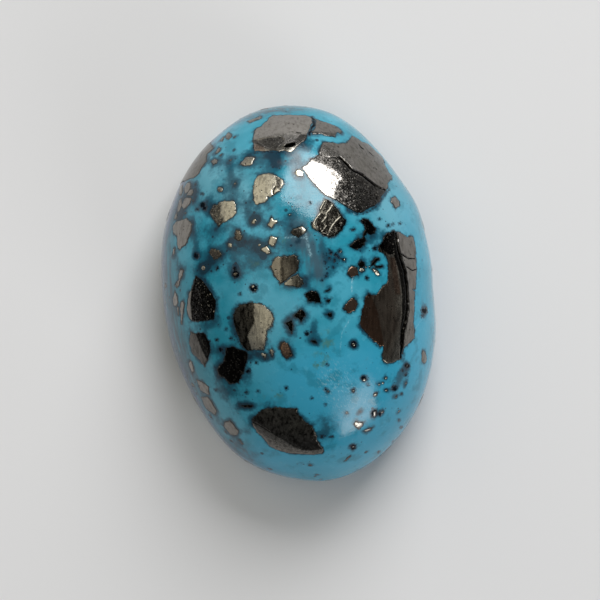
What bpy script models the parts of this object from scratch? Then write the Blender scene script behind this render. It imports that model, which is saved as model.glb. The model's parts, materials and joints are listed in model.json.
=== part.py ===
"""A polished oval of turquoise, 18 by 25 mm, with pyrite crystals cut through by its dome.

Metres, +Z up. The stone lies on its flat base, the origin is under the middle of that base, and
its long axis runs along Y. The crystals grew in the turquoise, so stone and crystals are one
solid. Pyrite is the harder of the two and stands a few hundredths of a millimetre proud of the
polish. Cracks, a burst cavity and small pits go down into the surface.
"""

import math

import bmesh
import bpy
from mathutils import Vector

MM = 0.001

# Driving dimensions, in millimetres
LENGTH = 25.0
WIDTH = 18.0
DOME_HEIGHT = 8.0  # from the widest line, the girdle, up to the crown
GIRDLE_HEIGHT = 2.2  # from the base up to the girdle
BASE_SHARE = 0.80  # the flat base's size as a share of the plan
BASE_EDGE = 0.25  # width of the eased edge around the base
PYRITE_PROUD = 0.07  # how far a crystal stands above the turquoise
RIDGE_PROUD = 0.14  # the same for a growth ridge on a crystal
ROOT_DEPTH = 0.6  # how far a crystal's sides reach down into the stone
GRID = 1.0  # spacing of the lines that let a crystal's top follow the dome
CLEAR = 0.3  # how far a cutter stands out of the surface
SPHERE_DETAIL = 5
TIP = 0.2  # a crack's section at its two ends, as a share of the full one

# Low swells of the outline: direction in degrees from +X towards +Y, share of the radius, spread
SWELLS = (
    (28, 0.020, 10),
    (70, 0.016, 12),
    (108, -0.009, 10),
    (148, 0.015, 15),
    (-148, -0.006, 12),
    (-120, 0.012, 9),
    (-100, -0.007, 8),
    (-48, 0.011, 16),
    (-8, -0.018, 11),
)

# Outlines of the crystals in plan, x and y in millimetres from the middle of the stone
CRYSTALS = {
    "crown": (
        (-1.6, 9.7), (-1.6, 10.5), (-1.3, 11.2), (-0.6, 11.5), (0.0, 11.9), (1.1, 11.8),
        (2.1, 11.6), (2.45, 11.25), (2.15, 10.5), (1.9, 10.0), (1.25, 9.6), (0.8, 9.3),
        (0.35, 9.5), (-0.9, 9.65),
    ),
    "crown_side": (
        (2.6, 11.3), (3.3, 10.95), (3.95, 10.6), (4.3, 10.25), (3.8, 9.95), (3.1, 10.15),
        (2.4, 10.3), (2.65, 10.75),
    ),
    "shoulder": (
        (1.35, 8.2), (2.1, 8.7), (2.6, 9.0), (2.95, 9.65), (4.5, 9.4), (5.0, 9.8), (5.9, 9.15),
        (6.7, 8.2), (6.85, 7.4), (7.15, 6.75), (6.8, 6.1), (6.0, 5.1), (4.85, 4.7), (4.05, 5.05),
        (3.3, 5.75), (2.5, 6.25), (1.8, 7.3),
    ),
    "flank": (
        (6.25, 3.15), (7.1, 3.1), (7.5, 2.7), (8.0, 2.65), (7.95, 1.4), (7.75, -0.2), (7.45, -1.4),
        (7.15, -2.9), (7.1, -3.95), (6.3, -4.5), (6.05, -5.2), (5.0, -5.35), (4.8, -5.0),
        (4.95, -4.25), (4.0, -3.3), (3.7, -2.5), (4.1, -1.2), (4.5, -0.65), (5.1, -0.75),
        (5.9, 0.1), (6.05, 1.5), (5.55, 2.1), (5.9, 2.7),
    ),
    "leaf": (
        (-4.3, -7.75), (-3.6, -7.3), (-2.6, -7.15), (-1.25, -7.35), (-1.05, -8.1), (-0.5, -8.7),
        (-0.2, -9.7), (0.1, -10.45), (-0.7, -10.6), (-1.9, -10.35), (-3.1, -9.85), (-3.7, -9.0),
        (-4.2, -8.3),
    ),
    "ridged": (
        (1.5, 4.4), (2.0, 5.1), (2.55, 5.95), (3.0, 5.6), (3.7, 4.4), (3.3, 3.65), (2.5, 3.4),
        (1.75, 3.9),
    ),
    "star": (
        (-1.7, 8.0), (-1.4, 8.15), (-0.6, 8.05), (0.05, 7.5), (-0.25, 6.9), (-1.0, 6.6),
        (-1.85, 6.15), (-2.1, 6.9),
    ),
    "left_cream": (
        (-5.1, 6.2), (-4.75, 6.6), (-4.0, 6.8), (-3.4, 6.7), (-3.35, 5.85), (-4.2, 5.4),
        (-4.65, 5.15),
    ),
    "centre": ((-1.65, 2.05), (-1.2, 2.6), (0.0, 2.65), (0.3, 2.1), (-0.1, 1.35), (-1.1, 0.85)),
    "centre_low": ((-0.95, 0.85), (0.05, 1.3), (0.4, 0.8), (0.0, 0.35), (-0.7, 0.6)),
    "two_tone": (
        (-4.3, -0.4), (-3.7, -0.1), (-2.75, -0.2), (-2.0, -0.8), (-1.9, -1.5), (-2.45, -2.1),
        (-2.9, -3.35), (-3.8, -3.2), (-4.4, -2.4), (-4.5, -1.0),
    ),
    "left_dark": (
        (-6.55, 2.2), (-6.0, 1.5), (-5.5, 0.4), (-5.75, -0.75), (-6.6, -0.9), (-7.4, -0.55),
        (-7.4, 0.5), (-7.0, 1.4),
    ),
    "lower_left": (
        (-7.45, -1.5), (-6.6, -1.6), (-6.3, -2.5), (-6.7, -3.7), (-7.2, -3.3), (-7.6, -2.1),
    ),
    "left_rim": (
        (-7.6, 5.6), (-7.2, 6.0), (-6.5, 5.95), (-6.4, 5.2), (-6.85, 4.4), (-7.4, 4.1),
    ),
    "left_low": (
        (-7.5, -4.7), (-6.9, -5.0), (-6.6, -6.4), (-6.6, -7.05), (-7.2, -6.5), (-7.4, -5.3),
    ),
    "lower_lens": ((-6.15, -7.7), (-5.6, -7.6), (-5.3, -8.3), (-5.6, -8.7), (-6.15, -8.2)),
    "small_top": ((-2.6, 9.0), (-2.1, 9.45), (-1.65, 9.3), (-2.0, 8.85)),
    "tan": ((-1.8, -3.3), (-1.45, -2.95), (-1.1, -3.4), (-1.1, -4.0), (-1.6, -4.0)),
    "right_tan": ((2.75, -1.4), (3.2, -0.85), (3.7, -1.0), (3.45, -1.6), (2.9, -1.65)),
    "comma": ((4.65, 4.2), (5.2, 4.2), (5.6, 3.6), (5.3, 3.15), (5.0, 3.6)),
    "comma_foot": ((3.7, 2.6), (4.2, 2.95), (4.8, 3.15), (4.75, 2.65), (4.2, 2.35)),
    "white_dark": ((0.0, 4.0), (0.5, 4.4), (1.05, 4.15), (0.8, 3.75), (0.3, 3.75)),
    "grouped": ((3.3, 0.9), (3.65, 1.3), (4.05, 0.95), (3.9, 0.55), (3.45, 0.6)),
    "dark_centre": ((0.35, -0.1), (1.1, 0.0), (1.35, -0.6), (0.55, -0.55)),
    "low_centre": ((-0.55, -1.4), (0.05, -1.05), (0.15, -1.5), (-0.15, -1.85)),
    "right_rim": ((6.9, 5.4), (7.25, 5.45), (7.4, 5.0), (7.15, 4.65), (6.88, 5.0)),
}

# Growth ridges on the crystal with steps
RIDGES = (
    ((2.6, 5.7), (2.0, 4.95), (1.7, 4.35), (1.9, 3.9)),
    ((3.0, 5.4), (2.6, 4.95), (2.3, 4.45)),
    ((3.4, 4.6), (2.9, 4.1), (2.5, 3.55)),
)
RIDGE_WIDTH = 0.22

# Cracks: their line in plan, then their width and depth in millimetres
CRACKS = (
    (
        ((3.2, 8.6), (3.95, 8.5), (4.45, 7.8), (5.3, 7.1), (5.95, 6.35), (6.75, 5.9)),
        0.17,
        0.28,
    ),
    (((2.5, 11.3), (2.58, 10.95), (2.3, 10.5), (2.15, 10.3)), 0.16, 0.25),
    (
        ((6.85, 2.9), (6.88, 1.6), (7.08, 0.4), (7.0, -1.2), (6.7, -2.7), (6.2, -3.9), (6.0, -4.9)),
        0.22,
        0.25,
    ),
    (((0.25, 1.35), (-0.3, 1.12), (-1.0, 0.82)), 0.12, 0.2),
    (((-3.05, -0.4), (-3.15, -1.2), (-3.65, -2.1), (-3.72, -2.9)), 0.1, 0.15),
)

# Hollows where grains burst out in the polishing: outline in plan, then depth
HOLLOWS = (
    (((0.35, 9.75), (0.65, 9.88), (1.1, 9.88), (1.12, 9.72), (0.65, 9.62)), 0.3),
    (((-5.3, -2.8), (-4.8, -2.8), (-4.0, -3.3), (-4.6, -5.0), (-5.4, -5.15), (-6.05, -4.3)), 0.3),
    (((0.4, 10.25), (-0.7, 10.5), (-1.0, 10.1), (-0.4, 9.8)), 0.1),
)
FLOOR_SHARE = 0.75  # a hollow's floor as a share of its mouth

# Small pits: x, y and radius in millimetres
PITS = (
    (-6.35, 3.45, 0.22), (-5.4, 6.6, 0.2), (-3.98, 1.9, 0.24), (-5.65, -2.85, 0.15),
    (0.1, -2.65, 0.16), (0.82, -6.45, 0.16), (5.3, -7.05, 0.2), (3.8, -8.55, 0.2),
    (4.2, -8.55, 0.18), (2.05, -10.5, 0.2), (5.35, 2.25, 0.16), (6.35, -5.7, 0.18),
    (3.05, -3.8, 0.2), (-2.9, 0.85, 0.2), (1.7, -1.65, 0.18), (2.0, -0.1, 0.14),
    (1.95, -0.7, 0.14), (-0.9, -2.1, 0.2), (2.65, -9.1, 0.2), (-4.05, -4.55, 0.15),
    (4.3, 1.3, 0.18), (5.25, 1.35, 0.16), (0.55, -3.25, 0.16), (-0.9, -11.3, 0.15),
)
PIT_DEPTH_SHARE = 0.7  # a pit's depth as a share of its radius


def clear_scene():
    for old in list(bpy.data.objects):
        bpy.data.objects.remove(old, do_unlink=True)


def swell(angle):
    """Share by which the outline swells in one direction."""
    total = 0.0
    for direction, share, spread in SWELLS:
        away = (math.degrees(angle) - direction + 180.0) % 360.0 - 180.0
        total += share * math.exp(-((away / spread) ** 2))
    return total


def stretch(x, y):
    """How much wider the stone is than its plain oval at a place given in plan."""
    oval = min(1.0, (2 * x / WIDTH) ** 2 + (2 * y / LENGTH) ** 2)
    return 1.0 + swell(math.atan2(y, x)) * oval


def dome_height(x, y):
    """Height of the polished surface above the base at a place in plan, all in millimetres."""
    wide = stretch(x, y)
    radius = math.hypot(2 * x / WIDTH, 2 * y / LENGTH) / wide
    return GIRDLE_HEIGHT + DOME_HEIGHT * math.sqrt(max(0.0, 1.0 - radius * radius))


def material(name, colour, roughness, metallic):
    made = bpy.data.materials.new(name)
    made.use_nodes = True
    shader = made.node_tree.nodes["Principled BSDF"]
    shader.inputs["Base Color"].default_value = (*colour, 1.0)
    shader.inputs["Roughness"].default_value = roughness
    shader.inputs["Metallic"].default_value = metallic
    return made


def add_object(name, bm):
    """Turns a mesh worked out in millimetres into an object in metres."""
    bmesh.ops.recalc_face_normals(bm, faces=bm.faces)
    bmesh.ops.scale(bm, vec=Vector((MM, MM, MM)), verts=bm.verts)
    mesh = bpy.data.meshes.new(name)
    bm.to_mesh(mesh)
    bm.free()
    made = bpy.data.objects.new(name, mesh)
    bpy.context.scene.collection.objects.link(made)
    return made


def hide_guide(guide):
    guide.hide_render = True
    guide.display_type = "WIRE"


def make_body():
    """The oval dome: an even sphere drawn out above and below the girdle, cut flat for the base."""
    bm = bmesh.new()
    bmesh.ops.create_icosphere(bm, subdivisions=SPHERE_DETAIL, radius=1.0)
    under = GIRDLE_HEIGHT / math.sqrt(1.0 - BASE_SHARE**2)
    for v in bm.verts:
        x = v.co.x * WIDTH / 2
        y = v.co.y * LENGTH / 2
        wide = stretch(x, y)
        rise = DOME_HEIGHT if v.co.z > 0 else under
        v.co = Vector((x * wide, y * wide, GIRDLE_HEIGHT + v.co.z * rise))
    cut = bmesh.ops.bisect_plane(
        bm,
        geom=bm.verts[:] + bm.edges[:] + bm.faces[:],
        plane_co=Vector((0, 0, 0)),
        plane_no=Vector((0, 0, -1)),
        clear_outer=True,
    )
    rim = [v for v in cut["geom_cut"] if isinstance(v, bmesh.types.BMVert)]
    bmesh.ops.remove_doubles(bm, verts=rim, dist=0.1)
    rim = [e for e in bm.edges if e.is_boundary]
    bmesh.ops.contextual_create(bm, geom=rim)
    bmesh.ops.bevel(
        bm, geom=rim, offset=BASE_EDGE, affect="EDGES", segments=2, profile=0.5, material=-1
    )
    bmesh.ops.triangulate(bm, faces=[f for f in bm.faces if len(f.verts) > 4])
    for v in bm.verts:
        v.co.z = max(0.0, v.co.z)
    return add_object("turquoise_stone", bm)


def cut_by_grid(bm, outline):
    """Lines across a crystal's top, so that it can bend with the dome."""
    for axis in (0, 1):
        low = min(p[axis] for p in outline)
        high = max(p[axis] for p in outline)
        count = int((high - low) / GRID)
        for line in range(1, count + 1):
            at = Vector((0, 0, 0))
            at[axis] = low + line * (high - low) / (count + 1)
            across = Vector((0, 0, 0))
            across[axis] = 1.0
            geometry = bm.verts[:] + bm.edges[:] + bm.faces[:]
            bmesh.ops.bisect_plane(bm, geom=geometry, plane_co=at, plane_no=across)


def flat_outline(outline):
    """A new mesh with one face: the outline in plan."""
    bm = bmesh.new()
    corners = [bm.verts.new((x, y, 0.0)) for x, y in outline]
    bmesh.ops.contextual_create(bm, geom=corners)
    return bm


def sunk_sides(bm, depth, share=1.0):
    """Gives a curved face sides that go straight down, or in towards a smaller floor."""
    around = bmesh.ops.extrude_face_region(bm, geom=bm.faces[:])["geom"]
    lower = [v for v in around if isinstance(v, bmesh.types.BMVert)]
    middle = sum((v.co for v in lower), Vector()) / len(lower)
    for v in lower:
        v.co.x = middle.x + (v.co.x - middle.x) * share
        v.co.y = middle.y + (v.co.y - middle.y) * share
        v.co.z = dome_height(v.co.x, v.co.y) - depth


def join_into(target, bm):
    """Adds one small mesh to a mesh that gathers many."""
    step = bpy.data.meshes.new("step")
    bm.to_mesh(step)
    bm.free()
    target.from_mesh(step)
    bpy.data.meshes.remove(step)


def make_crystals():
    """Every crystal as a plate that follows the dome, a little proud of it."""
    gathered = bmesh.new()
    for outline in CRYSTALS.values():
        bm = flat_outline(outline)
        cut_by_grid(bm, outline)
        for v in bm.verts:
            v.co.z = dome_height(v.co.x, v.co.y) + PYRITE_PROUD
        bmesh.ops.triangulate(bm, faces=bm.faces)
        sunk_sides(bm, ROOT_DEPTH)
        join_into(gathered, bm)
    guide = add_object("crystal_plates", gathered)
    hide_guide(guide)
    return guide


def wedge(line, width, edge_lift, middle_lift):
    """A bar of three-cornered section along a line in plan, thin at its two ends.

    Its two edges lie edge_lift above the dome, and its middle lies middle_lift above it.
    """
    bm = bmesh.new()
    last = len(line) - 1
    face = None
    corners = []
    for index, (x, y) in enumerate(line):
        before = Vector(line[max(0, index - 1)])
        after = Vector(line[min(last, index + 1)])
        along = (after - before).normalized()
        size = TIP if index in (0, last) else 1.0
        side = Vector((-along.y, along.x)) * width / 2 * size
        height = dome_height(x, y)
        places = (
            Vector((x + side.x, y + side.y, height + edge_lift)),
            Vector((x - side.x, y - side.y, height + edge_lift)),
            Vector((x, y, height + middle_lift * size)),
        )
        if face is None:
            corners = [bm.verts.new(place) for place in places]
            face = bmesh.ops.contextual_create(bm, geom=corners)["faces"][0]
            continue
        moved = bmesh.ops.extrude_face_region(bm, geom=[face])["geom"]
        if index > 1:
            bm.faces.remove(face)
        fresh = [v for v in moved if isinstance(v, bmesh.types.BMVert)]
        face = next(f for f in moved if isinstance(f, bmesh.types.BMFace))
        corners = [min(fresh, key=lambda v, c=c: (v.co - c.co).length) for c in corners]
        for corner, place in zip(corners, places):
            corner.co = place
    bmesh.ops.triangulate(bm, faces=bm.faces)
    return bm


def make_ridges():
    gathered = bmesh.new()
    for line in RIDGES:
        join_into(gathered, wedge(line, RIDGE_WIDTH, -CLEAR, RIDGE_PROUD))
    guide = add_object("growth_ridges", gathered)
    hide_guide(guide)
    return guide


def make_cracks():
    """Cutters for the cracks: each is as wide as it says where it meets the surface."""
    gathered = bmesh.new()
    for line, width, depth in CRACKS:
        mouth = width * (1.0 + CLEAR / depth)
        join_into(gathered, wedge(line, mouth, CLEAR, -depth))
    guide = add_object("crack_cutters", gathered)
    hide_guide(guide)
    return guide


def make_hollows():
    """Cutters for the burst hollows, with walls that lean in to a smaller floor."""
    gathered = bmesh.new()
    for outline, depth in HOLLOWS:
        bm = flat_outline(outline)
        cut_by_grid(bm, outline)
        for v in bm.verts:
            v.co.z = dome_height(v.co.x, v.co.y) + CLEAR
        bmesh.ops.triangulate(bm, faces=bm.faces)
        sunk_sides(bm, depth, FLOOR_SHARE)
        join_into(gathered, bm)
    guide = add_object("hollow_cutters", gathered)
    hide_guide(guide)
    return guide


def make_pits():
    gathered = bmesh.new()
    for x, y, radius in PITS:
        bm = bmesh.new()
        bmesh.ops.create_icosphere(bm, subdivisions=1, radius=radius)
        bmesh.ops.scale(bm, vec=Vector((1, 1, PIT_DEPTH_SHARE)), verts=bm.verts)
        bmesh.ops.translate(bm, vec=Vector((x, y, dome_height(x, y))), verts=bm.verts)
        join_into(gathered, bm)
    guide = add_object("pit_cutters", gathered)
    hide_guide(guide)
    return guide


def cut_or_join(body, guide, operation):
    modifier = body.modifiers.new(guide.name, "BOOLEAN")
    modifier.operation = operation
    modifier.solver = "EXACT"
    modifier.object = guide


def centre_on_box(body, guides):
    """Slides everything so that the outline's box is centred on the origin."""
    places = [v.co for v in body.data.vertices]
    shift = Vector((0, 0, 0))
    for axis in (0, 1):
        low = min(p[axis] for p in places)
        high = max(p[axis] for p in places)
        shift[axis] = -(low + high) / 2
    for thing in (body, *guides):
        for v in thing.data.vertices:
            v.co += shift


clear_scene()
stone = make_body()
crystals = make_crystals()
ridges = make_ridges()
cracks = make_cracks()
hollows = make_hollows()
pits = make_pits()
centre_on_box(stone, (crystals, ridges, cracks, hollows, pits))
cut_or_join(stone, crystals, "UNION")
cut_or_join(stone, ridges, "UNION")
cut_or_join(stone, cracks, "DIFFERENCE")
cut_or_join(stone, hollows, "DIFFERENCE")
cut_or_join(stone, pits, "DIFFERENCE")
stone.data.materials.append(material("polished turquoise", (0.05, 0.29, 0.41), 0.2, 0.0))
stone.data.shade_smooth()
stone.data.set_sharp_from_angle(angle=math.radians(20))
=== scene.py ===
# %% [markdown]
# # A polished turquoise stone with pyrite
#
# The stone is an oval cabochon, 18 by 25 mm: turquoise ground to a high dome and polished, with
# pyrite crystals that grew in it and were cut through by the same dome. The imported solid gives
# the true size and place. This lesson dresses it: a fine stone body with a colour that changes
# from cloud to cloud, and one thin metal plate for each crystal that the polish laid bare.

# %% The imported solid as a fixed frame
import json
import math
import random

import bmesh
import bpy
import numpy as np
from mathutils import Matrix, Vector, noise

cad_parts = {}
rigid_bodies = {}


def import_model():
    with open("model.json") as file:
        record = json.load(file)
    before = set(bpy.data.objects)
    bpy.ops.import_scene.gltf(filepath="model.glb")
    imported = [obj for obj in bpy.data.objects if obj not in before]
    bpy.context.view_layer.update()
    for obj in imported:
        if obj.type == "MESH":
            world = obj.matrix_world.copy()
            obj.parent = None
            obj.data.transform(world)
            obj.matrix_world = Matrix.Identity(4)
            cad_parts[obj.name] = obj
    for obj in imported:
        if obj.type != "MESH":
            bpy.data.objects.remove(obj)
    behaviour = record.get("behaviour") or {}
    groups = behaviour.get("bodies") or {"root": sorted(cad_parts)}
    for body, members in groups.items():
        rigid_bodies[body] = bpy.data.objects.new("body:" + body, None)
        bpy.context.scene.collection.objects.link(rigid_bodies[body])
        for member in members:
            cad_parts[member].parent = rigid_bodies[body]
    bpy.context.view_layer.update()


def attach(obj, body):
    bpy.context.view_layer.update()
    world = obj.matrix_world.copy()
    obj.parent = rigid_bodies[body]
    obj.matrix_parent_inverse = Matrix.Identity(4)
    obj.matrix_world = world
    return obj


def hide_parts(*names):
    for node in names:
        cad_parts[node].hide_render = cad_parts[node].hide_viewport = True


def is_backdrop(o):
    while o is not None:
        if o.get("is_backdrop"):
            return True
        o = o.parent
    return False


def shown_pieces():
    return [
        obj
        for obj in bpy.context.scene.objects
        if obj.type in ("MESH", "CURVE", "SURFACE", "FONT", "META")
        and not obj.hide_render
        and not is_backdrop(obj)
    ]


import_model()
MM = 0.001

# %% [markdown]
# ## The form of the dome
#
# A cutter starts from a plain oval and grinds by hand, so the outline swells a little here and
# there. The dome is a half ellipsoid above the widest line, the girdle. Below it the stone turns
# under to a flat back. The same few driving sizes shape the solid, so they are repeated here,
# and everything else is worked out from them.

# %% Driving sizes and the stone's skin
LENGTH = 25.0
WIDTH = 18.0
DOME_HEIGHT = 8.0
GIRDLE_HEIGHT = 2.2
BASE_SHARE = 0.80  # the flat back reaches this share of the way out to the girdle
UNDER_HEIGHT = GIRDLE_HEIGHT / math.sqrt(1.0 - BASE_SHARE**2)  # the lower half ellipsoid, uncut

SWELLS = (
    (28, 0.020, 10), (70, 0.016, 12), (108, -0.009, 10), (148, 0.015, 15), (-148, -0.006, 12),
    (-120, 0.012, 9), (-100, -0.007, 8), (-48, 0.011, 16), (-8, -0.018, 11),
)  # direction in degrees, share of the radius, spread in degrees


def stretch(x, y):
    """How much wider the stone is than its plain oval at a place in plan."""
    angle = np.degrees(np.arctan2(y, x))
    total = 0.0
    for direction, share, spread in SWELLS:
        away = (angle - direction + 180.0) % 360.0 - 180.0
        total = total + share * np.exp(-((away / spread) ** 2))
    oval = np.minimum(1.0, (2 * x / WIDTH) ** 2 + (2 * y / LENGTH) ** 2)
    return 1.0 + total * oval


def skin(direction):
    """Places rows of unit directions on the stone's skin: dome above, turned-under back below."""
    x = direction[:, 0] * WIDTH / 2
    y = direction[:, 1] * LENGTH / 2
    wide = stretch(x, y)
    rise = np.where(direction[:, 2] > 0, DOME_HEIGHT, UNDER_HEIGHT)
    return np.stack([x * wide, y * wide, GIRDLE_HEIGHT + direction[:, 2] * rise], axis=1)


around = np.radians(np.arange(0, 360, 0.5))
girdle = skin(np.stack([np.cos(around), np.sin(around), 0 * around], axis=1))
CENTRE = (girdle.max(axis=0) + girdle.min(axis=0)) / 2
CENTRE[2] = 0.0
print("outline box, mm:", np.round(np.ptp(girdle, axis=0)[:2], 2), "its middle:", np.round(CENTRE, 3))

# %% [markdown]
# ## Camera and studio light
#
# The stone was photographed from straight above, so a long lens a metre up shows it almost
# without perspective. Polished pyrite is a mirror: each face shows one part of the room. So the
# lamps are placed from where they must show on the dome. A ray that meets a slope of some angle
# leaves at twice that angle, which gives each lamp's direction and its size as seen from the
# stone. Straight up and low at the sides the studio is dark.

# %% Camera
PIXELS = 600
PIXELS_PER_MM = 15.1
LENS_MM = 900.0
SENSOR_MM = 36.0
LEAN_DEG = 8.3  # the long axis leans this much to the left in the picture
OFF_CENTRE_PIXELS = Vector((-0.7, 6.0))  # the stone's middle from the picture's middle

distance_mm = LENS_MM * PIXELS / SENSOR_MM / PIXELS_PER_MM
lean = math.radians(LEAN_DEG)
picture_right = Vector((math.cos(lean), -math.sin(lean), 0))
picture_up = Vector((math.sin(lean), math.cos(lean), 0))
off = OFF_CENTRE_PIXELS / PIXELS_PER_MM
eye = -(picture_right * off.x + picture_up * off.y) - Vector(CENTRE)
eye.z = GIRDLE_HEIGHT + distance_mm
camera_data = bpy.data.cameras.new("camera")
camera_data.lens = LENS_MM
camera_data.sensor_width = SENSOR_MM
camera_data.clip_end = 10.0
camera = bpy.data.objects.new("camera", camera_data)
axes = Matrix((picture_right, picture_up, Vector((0, 0, 1)))).transposed()
camera.matrix_world = Matrix.Translation(eye * MM) @ axes.to_4x4()
bpy.context.scene.collection.objects.link(camera)
bpy.context.scene.camera = camera
bpy.context.scene.view_settings.view_transform = "Standard"
print("camera is", round(eye.z), "mm above the floor")


# %% Lamps
def linear(hex_colour):
    """One sRGB hex colour as linear red, green and blue."""
    parts = [int(hex_colour[i : i + 2], 16) / 255 for i in (1, 3, 5)]
    return [p / 12.92 if p <= 0.04045 else ((p + 0.055) / 1.055) ** 2.4 for p in parts]


def add_lamp(name, towards, span, turned, radiance, colour):
    """A flat soft lamp: direction from the stone, size at unit distance, and how bright it looks."""
    towards = Vector(towards).normalized()
    side = Vector((0, 0, 1)).cross(towards).normalized()
    upper = towards.cross(side)
    angle = math.radians(turned)
    first = side * math.cos(angle) + upper * math.sin(angle)
    second = upper * math.cos(angle) - side * math.sin(angle)
    data = bpy.data.lights.new(name, "AREA")
    data.shape = "RECTANGLE"
    data.size = span[0] * LAMP_AWAY
    data.size_y = span[1] * LAMP_AWAY
    data.energy = radiance * math.pi * data.size * data.size_y
    data.color = linear(colour)
    lamp = bpy.data.objects.new(name, data)
    axes = Matrix((first, second, towards)).transposed()
    lamp.matrix_world = Matrix.Translation(towards * LAMP_AWAY) @ axes.to_4x4()
    lamp.visible_camera = False
    bpy.context.scene.collection.objects.link(lamp)


LAMP_AWAY = 0.5
LAMPS = (  # name, direction, size, turned, radiance, colour
    ("top_lamp", (0.35, 0.738, 0.577), (0.7, 0.65), 84, 7.8, "#FFFFFF"),
    ("low_lamp", (0.494, -0.808, 0.321), (0.44, 0.46), 72, 4.8, "#FFFFFF"),
    ("warm_panel", (-0.456, 0.449, 0.769), (2.0, 0.74), 60, 0.47, "#FFF7DF"),
    ("warm_halo", (-0.470, 0.460, 0.753), (2.5, 1.25), 60, 0.17, "#FFF7E6"),
)
for lamp in LAMPS:
    add_lamp(*lamp)

ROOM = 0.2  # how bright the unlit room mirrors in the crystals
world = bpy.data.worlds.new("dark studio")
world.use_nodes = True
world.node_tree.nodes["Background"].inputs["Color"].default_value = (0.92, 0.96, 1.0, 1.0)
world.node_tree.nodes["Background"].inputs["Strength"].default_value = ROOM
bpy.context.scene.world = world
print(len(LAMPS), "lamps", LAMP_AWAY, "m away")

# %% [markdown]
# ## Where the crystals lie
#
# Each crystal is a named outline in plan, in millimetres from the middle of the stone. Corners
# are read where the edge turns, and the fine raggedness between them is grown later by a
# seeded function, because a broken pyrite edge is never straight for long. The small grains
# are listed by kind: bright, dark, rusty and olive ones, round ones by a middle and a radius,
# dark spots that are pits without metal, and grains that a dark ring surrounds.

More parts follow.
